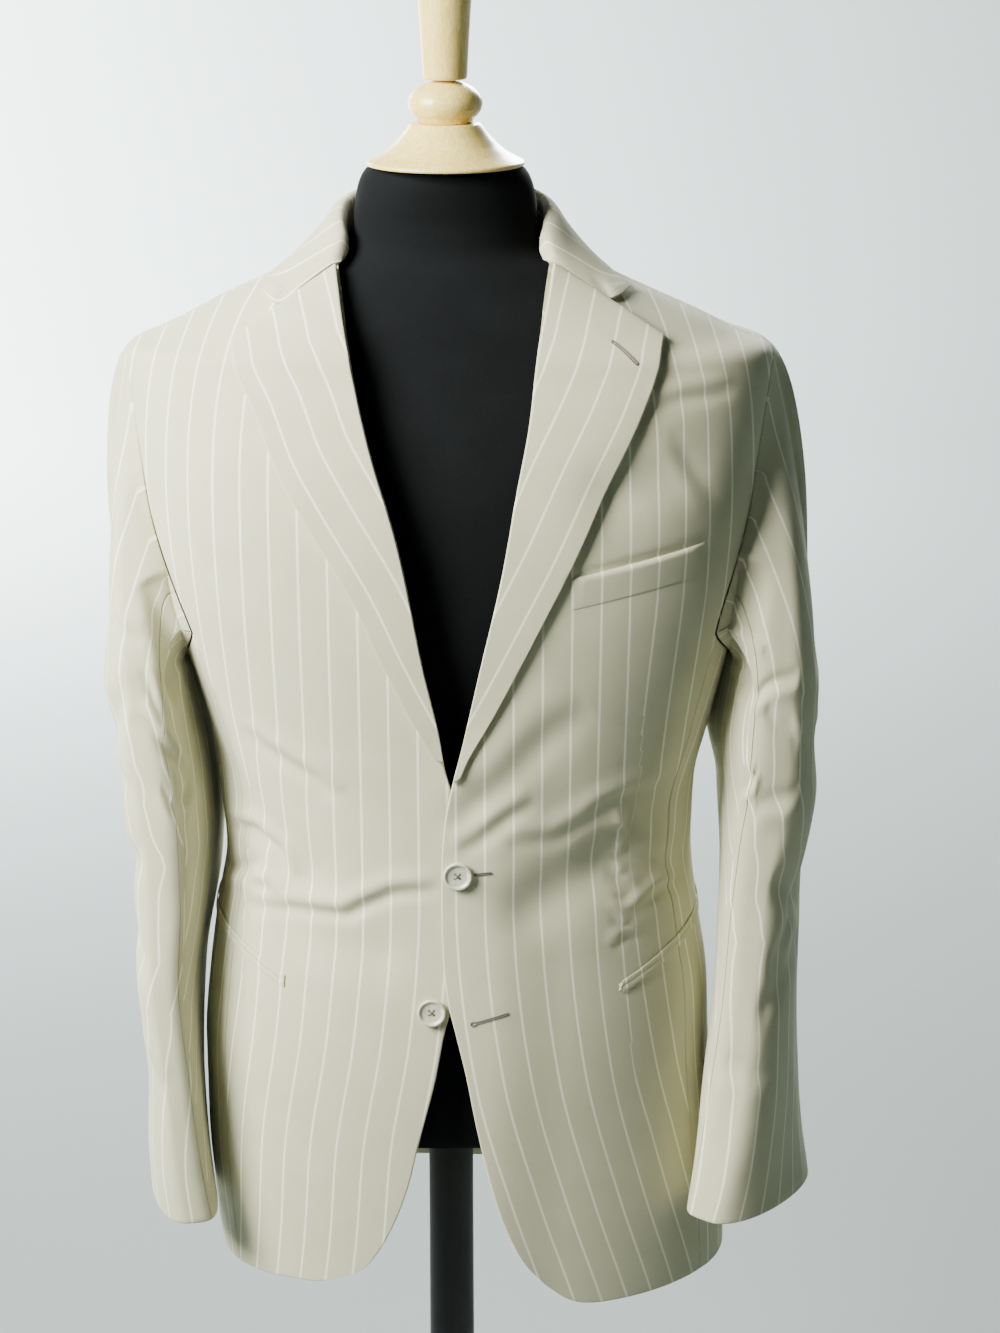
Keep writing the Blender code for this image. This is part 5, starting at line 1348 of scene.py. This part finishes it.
def collar(name):
    """The collar's stand and fall in one, from the left gorge round the neck to the right one."""
    rows = Curve([(float(index), *row) for index, row in enumerate(COLLAR)])
    half = COLLAR_COLUMNS // 2
    stations = []
    for side, places in ((1, np.linspace(0.0, 1.0, half + 1)), (-1, np.linspace(1.0, 0.0, half + 1)[1:])):
        for place in places:
            at = place * (len(COLLAR) - 1)
            stations.append(collar_station(rows(np.float64(at)), side, max(0.0, 1.0 - at)))
    fine = refined(np.array(stations, float), COLLAR_ACROSS)
    across = np.gradient(fine, axis=1)
    length = np.gradient(fine, axis=0)
    normal = unit(np.cross(length, across))
    if np.sum(normal[:, -1] * np.array([0.0, 0.0, 1.0])) < 0:
        normal = -normal
    middle = fine[:, COLLAR_RUN]
    run = np.concatenate([[0.0], np.cumsum(np.linalg.norm(np.diff(middle, axis=0), axis=1))])
    stripes = np.abs(run - run[half])[:, None] * np.ones(fine.shape[1])
    return cloth_wall(name, fine, fine - normal * COLLAR_WALL, stripes)


def cap_stripes(cap):
    """Length along level slices of the sleeve's head, from its outermost line."""
    heights = cap[..., 2].copy()
    heights[::-1] = np.maximum.accumulate(heights[::-1], axis=0)
    levels = np.linspace(heights[-1].max(), heights[0].max(), CAP_LEVELS)
    count = cap.shape[1]
    slices = np.empty((len(levels), count, 3))
    for column in range(count):
        for axis in range(3):
            slices[:, column, axis] = np.interp(levels, heights[::-1, column], cap[::-1, column, axis])
    there = levels[:, None] <= heights[0][None] + 1e-9
    length = np.zeros((len(levels), count))
    for way, columns in ((1, range(ARMHOLE_ROWS + 1, count)), (-1, range(ARMHOLE_ROWS - 1, -1, -1))):
        for column in columns:
            gap = np.linalg.norm(slices[:, column] - slices[:, column - way], axis=1)
            length[:, column] = length[:, column - way] + way * gap
    found = np.empty(cap.shape[:2])
    for column in range(count):
        known = there[:, column]
        known[0] = True
        found[:, column] = np.interp(heights[:, column], levels[known], length[known, column])
    return found


def side_run(outer, stripes, side):
    """How far the arm's outermost line moves round the sleeve below the cap. The stripes run along it."""
    column = np.argmax(side * outer[..., 0], axis=1)[:, None]
    run = np.take_along_axis(stripes, column, axis=1)[CAP_ROWS:, 0]
    beyond = SIDE_RUN_ROWS // 2
    even = np.convolve(np.pad(run, beyond, mode="edge"), np.ones(SIDE_RUN_ROWS) / SIDE_RUN_ROWS, "valid")
    return even - even[0]


def sleeve(names, side, table, folds):
    """The top sleeve and the under sleeve of one arm."""
    outer, inner = sleeve_grid(side, table, folds)
    count = outer.shape[1]
    closed = np.concatenate([outer, outer[:, :1]], axis=1)
    around = np.linalg.norm(np.diff(closed, axis=1), axis=2)
    length = np.concatenate([np.zeros((len(outer), 1)), np.cumsum(around, axis=1)], axis=1)[:, :-1]
    stripes = length - length[:, ARMHOLE_ROWS : ARMHOLE_ROWS + 1]
    stripes[CAP_ROWS:] -= side_run(outer, stripes, side)[:, None]
    stripes[:CAP_ROWS] = cap_stripes(outer[: CAP_ROWS + 1])[:CAP_ROWS]
    front_seam, back_seam = SLEEVE_FRONT_SEAM, 2 * ARMHOLE_ROWS - SLEEVE_BACK_SEAM
    upper = list(range(front_seam, back_seam + 1))
    lower = list(range(back_seam, count)) + list(range(0, front_seam + 1))
    made = []
    for name, columns in zip(names, (upper, lower)):
        outside, inside = inset(outer[:, columns], "lr"), inset(inner[:, columns], "lr")
        made.append(cloth_wall(name, outside, inside, stripes[:, columns]))
    return made


def strip(name, slit, side, low, high):
    """One jet: a narrow strip along a pocket's mouth, pressed flat and a little round."""
    share = np.linspace(0.0, 1.0, JET_PLACES)
    turn = np.radians(slit.turn + (slit.to_turn - slit.turn) * share) * side
    height = slit.height + (slit.to_height - slit.height) * share
    height = height + slit.bow * np.sin(math.pi * share)
    turns = np.broadcast_to(turn, (JET_ROWS, JET_PLACES))
    heights = height[None] + np.linspace(low, high, JET_ROWS)[:, None]
    swell = np.sin(np.linspace(0.0, math.pi, JET_ROWS))[:, None] * JET_ROUND * np.ones(JET_PLACES)
    inner = cloth_point(turns, heights, JET_CLEARANCE)
    outer = cloth_point(turns, heights, JET_CLEARANCE + JET_WALL - JET_FLATTER + swell)
    stripes = front_stripes(turns, heights, side)
    return cloth_wall(name, outer, inner, stripes)


def breast_welt(name):
    """The welt of the breast pocket. It stands free along its top and is sewn flat along its other edges."""
    share = np.linspace(0.0, 1.0, WELT_PLACES)
    start, end = WELT_LOW
    xs = np.broadcast_to(start.x + (end.x - start.x) * share, (WELT_ROWS, WELT_PLACES))
    rise = np.linspace(0.0, WELT_HEIGHT, WELT_ROWS)[:, None]
    zs = (start.z + (end.z - start.z) * share)[None] + rise
    turn = turn_of_x(xs, zs)
    from_end = np.minimum(share, 1.0 - share) * (end.x - start.x)
    free = np.minimum(rise / WELT_SEWN, 1.0) * np.minimum(from_end[None] / WELT_SEWN_END, 1.0)
    wall = WELT_SEWN_WALL + (WELT_WALL - WELT_SEWN_WALL) * free
    inner = cloth_point(turn, zs, WELT_LAY)
    outer = cloth_point(turn, zs, WELT_LAY + wall)
    return cloth_wall(name, outer, inner, front_stripes(turn, zs, 1))


def turned(name, profile, material, steps=TURN_STEPS):
    """A turned piece. The profile's (radius, height) points run down its outer side."""
    mesh = bpy.data.meshes.new(name)
    points = [(radius, 0.0, height) for radius, height in profile]
    edges = [(i, i + 1) for i in range(len(points) - 1)]
    mesh.from_pydata(points, edges, [])
    piece = add_piece(name, mesh, material)
    screw = piece.modifiers.new("Turn", "SCREW")
    screw.axis = "Z"
    screw.steps = steps
    screw.render_steps = steps
    screw.use_merge_vertices = True
    screw.merge_threshold = 0.00001
    screw.use_smooth_shade = True
    return piece


def softened(corners, reach):
    """A profile with each inner corner rounded by a short curve."""
    made = [corners[0]]
    for before, corner, after in zip(corners, corners[1:], corners[2:]):
        p, q, r = (np.array(v, float) for v in (before, corner, after))
        start = q + (p - q) * min(ROUNDING_LIMIT, reach / max(np.linalg.norm(p - q), 1e-9))
        end = q + (r - q) * min(ROUNDING_LIMIT, reach / max(np.linalg.norm(r - q), 1e-9))
        for share in np.linspace(0.0, 1.0, ROUNDING_STEPS + 1):
            spot = start * (1 - share) ** 2 + q * 2 * share * (1 - share) + end * share**2
            made.append((float(spot[0]), float(spot[1])))
    made.append(corners[-1])
    return made


def ring_faces(rings, count, closed=False):
    """Faces between rings of points, which are joined into a loop (closed) or capped at both ends."""
    faces = []
    for row in range(rings if closed else rings - 1):
        low, high = row * count, (row + 1) % rings * count
        for i in range(count):
            after = (i + 1) % count
            faces.append((low + i, low + after, high + after, high + i))
    if not closed:
        faces.append(tuple(range(count - 1, -1, -1)))
        faces.append(tuple((rings - 1) * count + i for i in range(count)))
    return faces


def tube(name, path, radius, material, closed=False, sides=TUBE_SIDES, swell=0.0, waves=0):
    """A round cord along a path of points, with a swelling for each stitch."""
    path = np.array(path, float)
    if closed:
        ahead = np.roll(path, -1, axis=0) - np.roll(path, 1, axis=0)
    else:
        ahead = np.gradient(path, axis=0)
    ahead = unit(ahead)
    guide = np.cross(ahead, np.roll(ahead, 1, axis=0)).sum(axis=0)
    guide = unit(guide if np.linalg.norm(guide) > 1e-9 else np.array([0.0, 1.0, 0.2]))
    across = unit(np.cross(ahead, guide))
    over = np.cross(across, ahead)
    count = len(path)
    width = radius * (1.0 + swell * np.sin(np.arange(count) * 2 * math.pi * waves / count))
    if not closed:
        width[0] = width[-1] = radius * TUBE_END
    turns = np.linspace(0.0, 2 * math.pi, sides, endpoint=False)
    ring = across[:, None] * np.cos(turns)[:, None] + over[:, None] * np.sin(turns)[:, None]
    points = (path[:, None] + ring * width[:, None, None]).reshape(-1, 3)
    mesh = bpy.data.meshes.new(name)
    mesh.from_pydata(points.tolist(), [], ring_faces(count, sides, closed))
    return add_piece(name, mesh, material)


def drilled(piece, places, radius, depth):
    """The piece with a round hole at each place, through its thickness."""
    cutter_mesh = bpy.data.meshes.new("drill")
    shape = bmesh.new()
    for x, y in places:
        where = Matrix.Translation((x, y, depth / 2))
        size = {"radius1": radius, "radius2": radius, "depth": depth * 3}
        bmesh.ops.create_cone(shape, cap_ends=True, segments=HOLE_SIDES, matrix=where, **size)
    shape.to_mesh(cutter_mesh)
    shape.free()
    cutter = bpy.data.objects.new("drill", cutter_mesh)
    bpy.context.scene.collection.objects.link(cutter)
    cut = piece.modifiers.new("Holes", "BOOLEAN")
    cut.operation = "DIFFERENCE"
    cut.solver = "EXACT"
    cut.object = cutter
    graph = bpy.context.evaluated_depsgraph_get()
    mesh = bpy.data.meshes.new_from_object(piece.evaluated_get(graph))
    mesh.name = piece.name + "_drilled"
    piece.modifiers.clear()
    piece.data = mesh
    bpy.data.objects.remove(cutter)
    mesh.shade_smooth()
    mesh.set_sharp_from_angle(angle=math.radians(DRILLED_SHARP_ANGLE))


def button(name, place, lift):
    """A button with four holes, and the thread that crosses in its dish."""
    r, thick, rim = BUTTON_RADIUS, BUTTON_THICK, BUTTON_RIM
    profile = [(r - rim * inset_share, thick * level) for inset_share, level in BUTTON_PROFILE]
    profile = [(0.0, profile[0][1])] + profile + [(0.0, 0.0)]
    piece = turned(name, softened(profile, BUTTON_ROUNDING), HORN, BUTTON_STEPS)
    corners = [(HOLE_OUT * i, HOLE_OUT * j) for i, j in ((1, 1), (-1, 1), (-1, -1), (1, -1))]
    drilled(piece, corners, HOLE_RADIUS, thick)
    turn = turn_of_x(place.x, place.z)
    normal = Vector(body_normal(turn, np.float64(place.z)))
    spot = Vector(cloth_point(turn, np.float64(place.z), lift))
    facing = Vector((0.0, 0.0, 1.0)).rotation_difference(normal).to_matrix().to_4x4()
    piece.matrix_world = Matrix.Translation(spot) @ facing
    threads = []
    dish = thick * BUTTON_PROFILE[0][1]
    for index, (start, end) in enumerate(((corners[0], corners[2]), (corners[1], corners[3]))):
        share = np.linspace(0.0, 1.0, THREAD_PLACES)
        # The second thread crosses over the first, and both bend steeply into the holes.
        rise = dish + THREAD_RADIUS * (0.4 + 0.8 * index) * np.ones(THREAD_PLACES)
        rise -= THREAD_SINK * (np.abs(share - 0.5) * 2.0) ** 8
        flat = np.array(start) + (np.array(end) - np.array(start)) * share[:, None]
        path = np.column_stack([flat, rise])
        waves = {"sides": THREAD_SIDES, "swell": THREAD_SWELL, "waves": THREAD_WAVES}
        crossing = tube(f"thread_{name}_{index}", path, THREAD_RADIUS, THREAD, **waves)
        crossing.matrix_world = piece.matrix_world.copy()
        threads.append(crossing)
    return piece, threads


def on_cloth(x, z, out, over):
    """Point over the front at an X and a height, on the lapped part (over) or on the cloth under it."""
    turn = turn_of_x(x, z)
    lift = overlap_lift(x, z) if over else 0.0
    return cloth_point(turn, z, out + lift)


def buttonhole(name, start, end, out, eye):
    """A loop of close stitches round a slit, with a round eye at its start if it has one."""
    start, end = np.array(start, float), np.array(end, float)
    length = np.linalg.norm(end - start)
    ahead = (end - start) / length
    aside = np.array([-ahead[1], ahead[0]])
    outline = []
    for way, corner, turn_radius in ((1, end, HOLE_STITCH), (-1, start, HOLE_STITCH + eye)):
        for share in np.linspace(0.0, 1.0, HOLE_PLACES)[::way]:
            width = HOLE_STITCH + eye * max(0.0, 1.0 - share * length / HOLE_EYE_LENGTH)
            outline.append(start + ahead * share * length + aside * width * way)
        for angle in np.linspace(0.0, math.pi, HOLE_END_PLACES)[1:-1]:
            around = ahead * math.sin(angle) + aside * math.cos(angle)
            outline.append(corner + around * turn_radius * way)
    flat = np.array(outline)
    path = on_cloth(flat[:, 0], flat[:, 1], out, True)
    waves = {"swell": HOLE_THREAD_SWELL, "waves": HOLE_THREAD_WAVES}
    return tube(name, path, HOLE_THREAD_RADIUS, THREAD, closed=True, **waves)


def stitches(name, places):
    """Short raised stitches, each between a pair of places on the cloth."""
    made = []
    for index, (start, end) in enumerate(places):
        share = np.linspace(0.0, 1.0, TACK_PLACES)
        x = start[0] + (end[0] - start[0]) * share
        z = start[1] + (end[1] - start[1]) * share
        normal = body_normal(turn_of_x(x, z), z)
        rise = TACK_RADIUS * TACK_RISE * np.sin(math.pi * share)
        path = on_cloth(x, z, TACK_OUT, False) + normal * rise[:, None]
        made.append(tube(f"{name}_{index}", path, TACK_RADIUS, PALE_THREAD))
    return made


def form_torso(name):
    """The covered body and neck of the form, one closed solid."""
    columns = FORM_COLUMNS
    heights = np.array(FORM_HEIGHTS)
    turns = np.linspace(0.0, 2 * math.pi, columns, endpoint=False)
    turns = np.where(turns > math.pi, turns - 2 * math.pi, turns)
    rings = np.array([ring_point(FORM_CURVE, turns, np.full(columns, h)) for h in heights])
    foot = np.clip((heights - TORSO_LOW) / FORM_FOOT, 0.0, 1.0)
    rounding = (FORM_FOOT_SHARE + (1 - FORM_FOOT_SHARE) * np.sqrt(1 - (1 - foot) ** 2))[:, None]
    rings[..., 0] *= rounding
    rings[..., 1] *= rounding
    mesh = bpy.data.meshes.new(name)
    mesh.from_pydata(rings.reshape(-1, 3).tolist(), [], ring_faces(len(heights), columns))
    shape = bmesh.new()
    shape.from_mesh(mesh)
    bmesh.ops.recalc_face_normals(shape, faces=shape.faces)
    shape.to_mesh(mesh)
    shape.free()
    return add_piece(name, mesh, JERSEY)


def arc(radius, height, bulge_radius, bulge_height, start, end, count):
    """Points of an elliptic arc, angles in degrees from the outer side upwards."""
    angles = np.radians(np.linspace(start, end, count))
    return [
        (radius + bulge_radius * math.cos(angle), height + bulge_height * math.sin(angle))
        for angle in angles
    ]


# Where each buttonhole starts and ends in X and height, how far out it is, and its eye's radius.
Buttonhole = namedtuple("Buttonhole", "name start end out eye")
LAPEL_FACE = LAY + LAPEL_PROUD + LAPEL_WALL
BUTTONHOLES = [
    Buttonhole("thread_hole_upper", (0.0205, 1.0123), (0.0309, 1.0133), 0.0002, 0.0),
    Buttonhole("thread_hole_lower", (0.0186, 0.8992), (0.0430, 0.9062), 0.0002, 0.0010),
    Buttonhole("thread_hole_lapel", (0.1139, 1.3819), (0.1301, 1.3696), LAPEL_FACE, 0.0),
]
# The crossed and single stitches at the pockets' front ends.
TACKS = {
    "thread_tack_left": [((0.1245, 0.9190), (0.1262, 0.9135)), ((0.1262, 0.9195), (0.1245, 0.9138))],
    "thread_tack_right": [((-0.1200, 0.9235), (-0.1183, 0.9180))],
}


def decorate(piece):
    """A small piece that is part of the look only."""
    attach(piece, "root")


def stand_in(piece, nodes):
    """A piece that stands in for CAD nodes."""
    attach(piece, "root")
    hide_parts(*nodes)


def raised(profile, low):
    return [(radius, low + height) for radius, height in profile]


def build_stand():
    """The cap, knob and finial on the neck, and the pole and base under the torso."""
    cap_low = NECK_TOP + TOUCH
    cap = raised(CAP_PROFILE, cap_low)
    stand_in(turned("wood_cap", softened(cap, CAP_ROUNDING), WOOD), ["neck_cap"])
    knob_low = cap_low + CAP_PROFILE[0][1] + TOUCH
    knob = [(0.0, KNOB_HEIGHT)] + arc(0.0, KNOB_MIDDLE, *KNOB_BULGE, *KNOB_ARC) + KNOB_FOOT
    stand_in(turned("wood_knob", raised(knob, knob_low), WOOD), ["cap_knob"])
    post_low = knob_low + KNOB_HEIGHT + TOUCH
    post = [(0.0, FINIAL_TOP)] + arc(0.0, FINIAL_TOP - FINIAL_BULGE[1], *FINIAL_BULGE, *FINIAL_ARC)
    post += FINIAL_SIDE + raised(FINIAL_FOOT, post_low)
    stand_in(turned("wood_post", softened(post, FINIAL_ROUNDING), WOOD), ["finial_post"])
    pole_low = BASE_PROFILE[0][1] + TOUCH
    pole_top = TORSO_LOW - TOUCH
    pole = [(0.0, pole_top), (POLE_TOP_RADIUS, pole_top), (POLE_LOW_RADIUS, pole_low), (0.0, pole_low)]
    stand_in(turned("enamel_pole", softened(pole, POLE_ROUNDING), ENAMEL), ["stand_pole"])
    base = softened(BASE_PROFILE, BASE_ROUNDING)
    stand_in(turned("enamel_base", base, ENAMEL), ["stand_base"])


# How each cloth piece is held, and what it hangs from or lies on.
HOLDS = {
    "collar": ("folded", ["cloth_back_left", "cloth_back_right"]),
    "breast_welt": ("laid", ["cloth_front_left"]),
}
for label in ("left", "right"):
    HOLDS["front_" + label] = ("draped", ["jersey_torso"])
    HOLDS["side_" + label] = ("hung", ["cloth_front_" + label, "cloth_back_" + label])
    HOLDS["back_" + label] = ("draped", ["jersey_torso"])
    HOLDS["lapel_" + label] = ("folded", ["cloth_front_" + label])
    HOLDS["top_sleeve_" + label] = ("hung", ["cloth_front_" + label, "cloth_back_" + label])
    HOLDS["under_sleeve_" + label] = ("hung", ["cloth_side_" + label, "cloth_top_sleeve_" + label])


def build_jacket():
    """Every cloth piece of the jacket, each standing in for the CAD node of the same name."""
    left = front_outline(1, LEFT_EDGE, LEFT_HEM_CORNER, HEM_LEFT)
    right = front_outline(-1, RIGHT_EDGE, RIGHT_HEM_CORNER, HEM_RIGHT)
    made = {}
    made["front_left"] = panel("cloth_front_left", left, front_stripes(left[..., 0], left[..., 1], 1), True)
    made["front_right"] = panel("cloth_front_right", right, front_stripes(right[..., 0], right[..., 1], -1))
    for side, label, hem in ((1, "left", HEM_LEFT), (-1, "right", HEM_RIGHT)):
        outline = side_outline(side, hem)
        stripes = side_stripes(outline[..., 0], outline[..., 1])
        made["side_" + label] = panel("cloth_side_" + label, outline, stripes)
        outline = back_outline(side, hem)
        stripes = back_stripes(outline[..., 0], outline[..., 1])
        made["back_" + label] = panel("cloth_back_" + label, outline, stripes)
    for side, label, table, folds in (
        (1, "left", LEFT_SLEEVE, SLEEVE_FOLDS_LEFT),
        (-1, "right", RIGHT_SLEEVE, SLEEVE_FOLDS_RIGHT),
    ):
        names = ("cloth_top_sleeve_" + label, "cloth_under_sleeve_" + label)
        top, under = sleeve(names, side, table, folds)
        made["top_sleeve_" + label] = top
        made["under_sleeve_" + label] = under
    made["lapel_left"] = lapel("cloth_lapel_left", 1, LEFT_LAPEL, LEFT_EDGE, LAPEL_LOW_LEFT, True)
    made["lapel_right"] = lapel("cloth_lapel_right", -1, RIGHT_LAPEL, RIGHT_EDGE, LAPEL_LOW_RIGHT, False)
    made["collar"] = collar("cloth_collar")
    made["breast_welt"] = breast_welt("cloth_breast_welt")
    for side, label, slit in ((1, "left", POCKET_LEFT), (-1, "right", POCKET_RIGHT)):
        for which, low, high in (("upper", SEAM, JET_WIDTH), ("lower", -JET_WIDTH, -SEAM)):
            node = f"pocket_jet_{which}_{label}"
            made[node] = strip("cloth_" + node, slit, side, low, high)
    for node, piece in made.items():
        stand_in(piece, [node])
    for node, (held, rests_on) in HOLDS.items():
        piece = made[node]
        side = node.split("_")[-1]


build_jacket()
stand_in(form_torso("jersey_torso"), ["form_torso"])
for label, spot, lift in (("upper", BUTTON_UPPER, OVERLAP_LIFT + TOUCH), ("lower", BUTTON_LOWER, TOUCH)):
    disc, crossing = button("horn_button_" + label, spot, lift)
    stand_in(disc, ["button_" + label])
    for piece in crossing:
        decorate(piece)
for hole in BUTTONHOLES:
    decorate(buttonhole(*hole))
for name, places in TACKS.items():
    for piece in stitches(name, places):
        decorate(piece)
build_stand()


# Stage, light and camera
FLOOR_RADIUS = 8.0
FLOOR_CURVE = 2.0  # radius of the bend between the floor and its wall
FLOOR_RINGS = [0.0, 0.6, 1.5, 3.0, FLOOR_RADIUS - FLOOR_CURVE]  # radii on the flat
FLOOR_BENDS = 15
FLOOR_SIDES = 96
WALL_TOP = 6.0
PAPER = (0.34, 0.375, 0.37, 1.0)
PAPER_SHADE = (0.3349, 0.369375, 0.36445, 1.0)
WORLD_COLOUR = (0.93, 0.97, 1.0, 1.0)
WORLD_STRENGTH = 0.055

# Square lights: where each stands, what it points at, its side, watts, colour, and its beam in degrees.
Light = namedtuple("Light", "name spot aim size energy colour spread")
LIGHTS = [
    Light("key", (-1.18, -0.71, 2.05), (-0.2, 0.0, 1.2), 0.9, 51.0, (1.0, 1.0, 0.985), 110.0),
    Light("back", (-3.2, 5.2, 3.0), (-2.6, 6.1, 0.8), 2.0, 2450.0, (0.95, 1.0, 0.99), 180.0),
    Light("rear", (0.6, 2.6, 2.2), (0.0, 0.0, 1.1), 1.2, 20.0, (0.97, 1.0, 1.0), 60.0),
]

CAMERA_SPOT = (0.038, -1.953, 1.734)
CAMERA_DOWN = 17.2  # degrees below the horizon
FOCAL_PIXELS = 2777.0
PHOTO_HEIGHT = 1333.0
SENSOR = 36.0


def paper():
    make = Nodes("studio_paper", {"Roughness": 0.9})
    make.colour(make.mix(make.noise(make.place(), 2.0), PAPER, PAPER_SHADE))
    return make.material


def backdrop():
    """A round floor whose rim curves up into a low wall, wider than the views from all sides."""
    profile = [(radius, 0.0) for radius in FLOOR_RINGS]
    bend = arc(FLOOR_RADIUS - FLOOR_CURVE, FLOOR_CURVE, FLOOR_CURVE, FLOOR_CURVE, -90, 0, FLOOR_BENDS + 1)
    profile += bend[1:] + [(FLOOR_RADIUS, WALL_TOP)]
    turned("studio_floor", profile, paper(), FLOOR_SIDES)


def area_light(name, spot, aim, size, energy, colour, spread):
    light = bpy.data.lights.new(name, "AREA")
    light.energy = energy
    light.size = size
    light.color = colour
    light.spread = math.radians(spread)
    lamp = bpy.data.objects.new(name, light)
    bpy.context.scene.collection.objects.link(lamp)
    lamp.location = spot
    lamp.rotation_euler = (Vector(aim) - Vector(spot)).to_track_quat("-Z", "Y").to_euler()


def sky():
    """An even, dim light from all around."""
    world = bpy.data.worlds.new("studio")
    bpy.context.scene.world = world
    world.use_nodes = True
    background = world.node_tree.nodes["Background"]
    background.inputs["Color"].default_value = WORLD_COLOUR
    background.inputs["Strength"].default_value = WORLD_STRENGTH


def camera():
    view = bpy.data.objects.new("camera", bpy.data.cameras.new("camera"))
    bpy.context.scene.collection.objects.link(view)
    view.location = CAMERA_SPOT
    view.rotation_euler = (math.radians(90.0 - CAMERA_DOWN), 0.0, 0.0)
    view.data.sensor_fit = "VERTICAL"
    view.data.sensor_width = SENSOR
    view.data.sensor_height = SENSOR
    view.data.lens = FOCAL_PIXELS / PHOTO_HEIGHT * SENSOR
    bpy.context.scene.camera = view


backdrop()
for light in LIGHTS:
    area_light(*light)
sky()
camera()
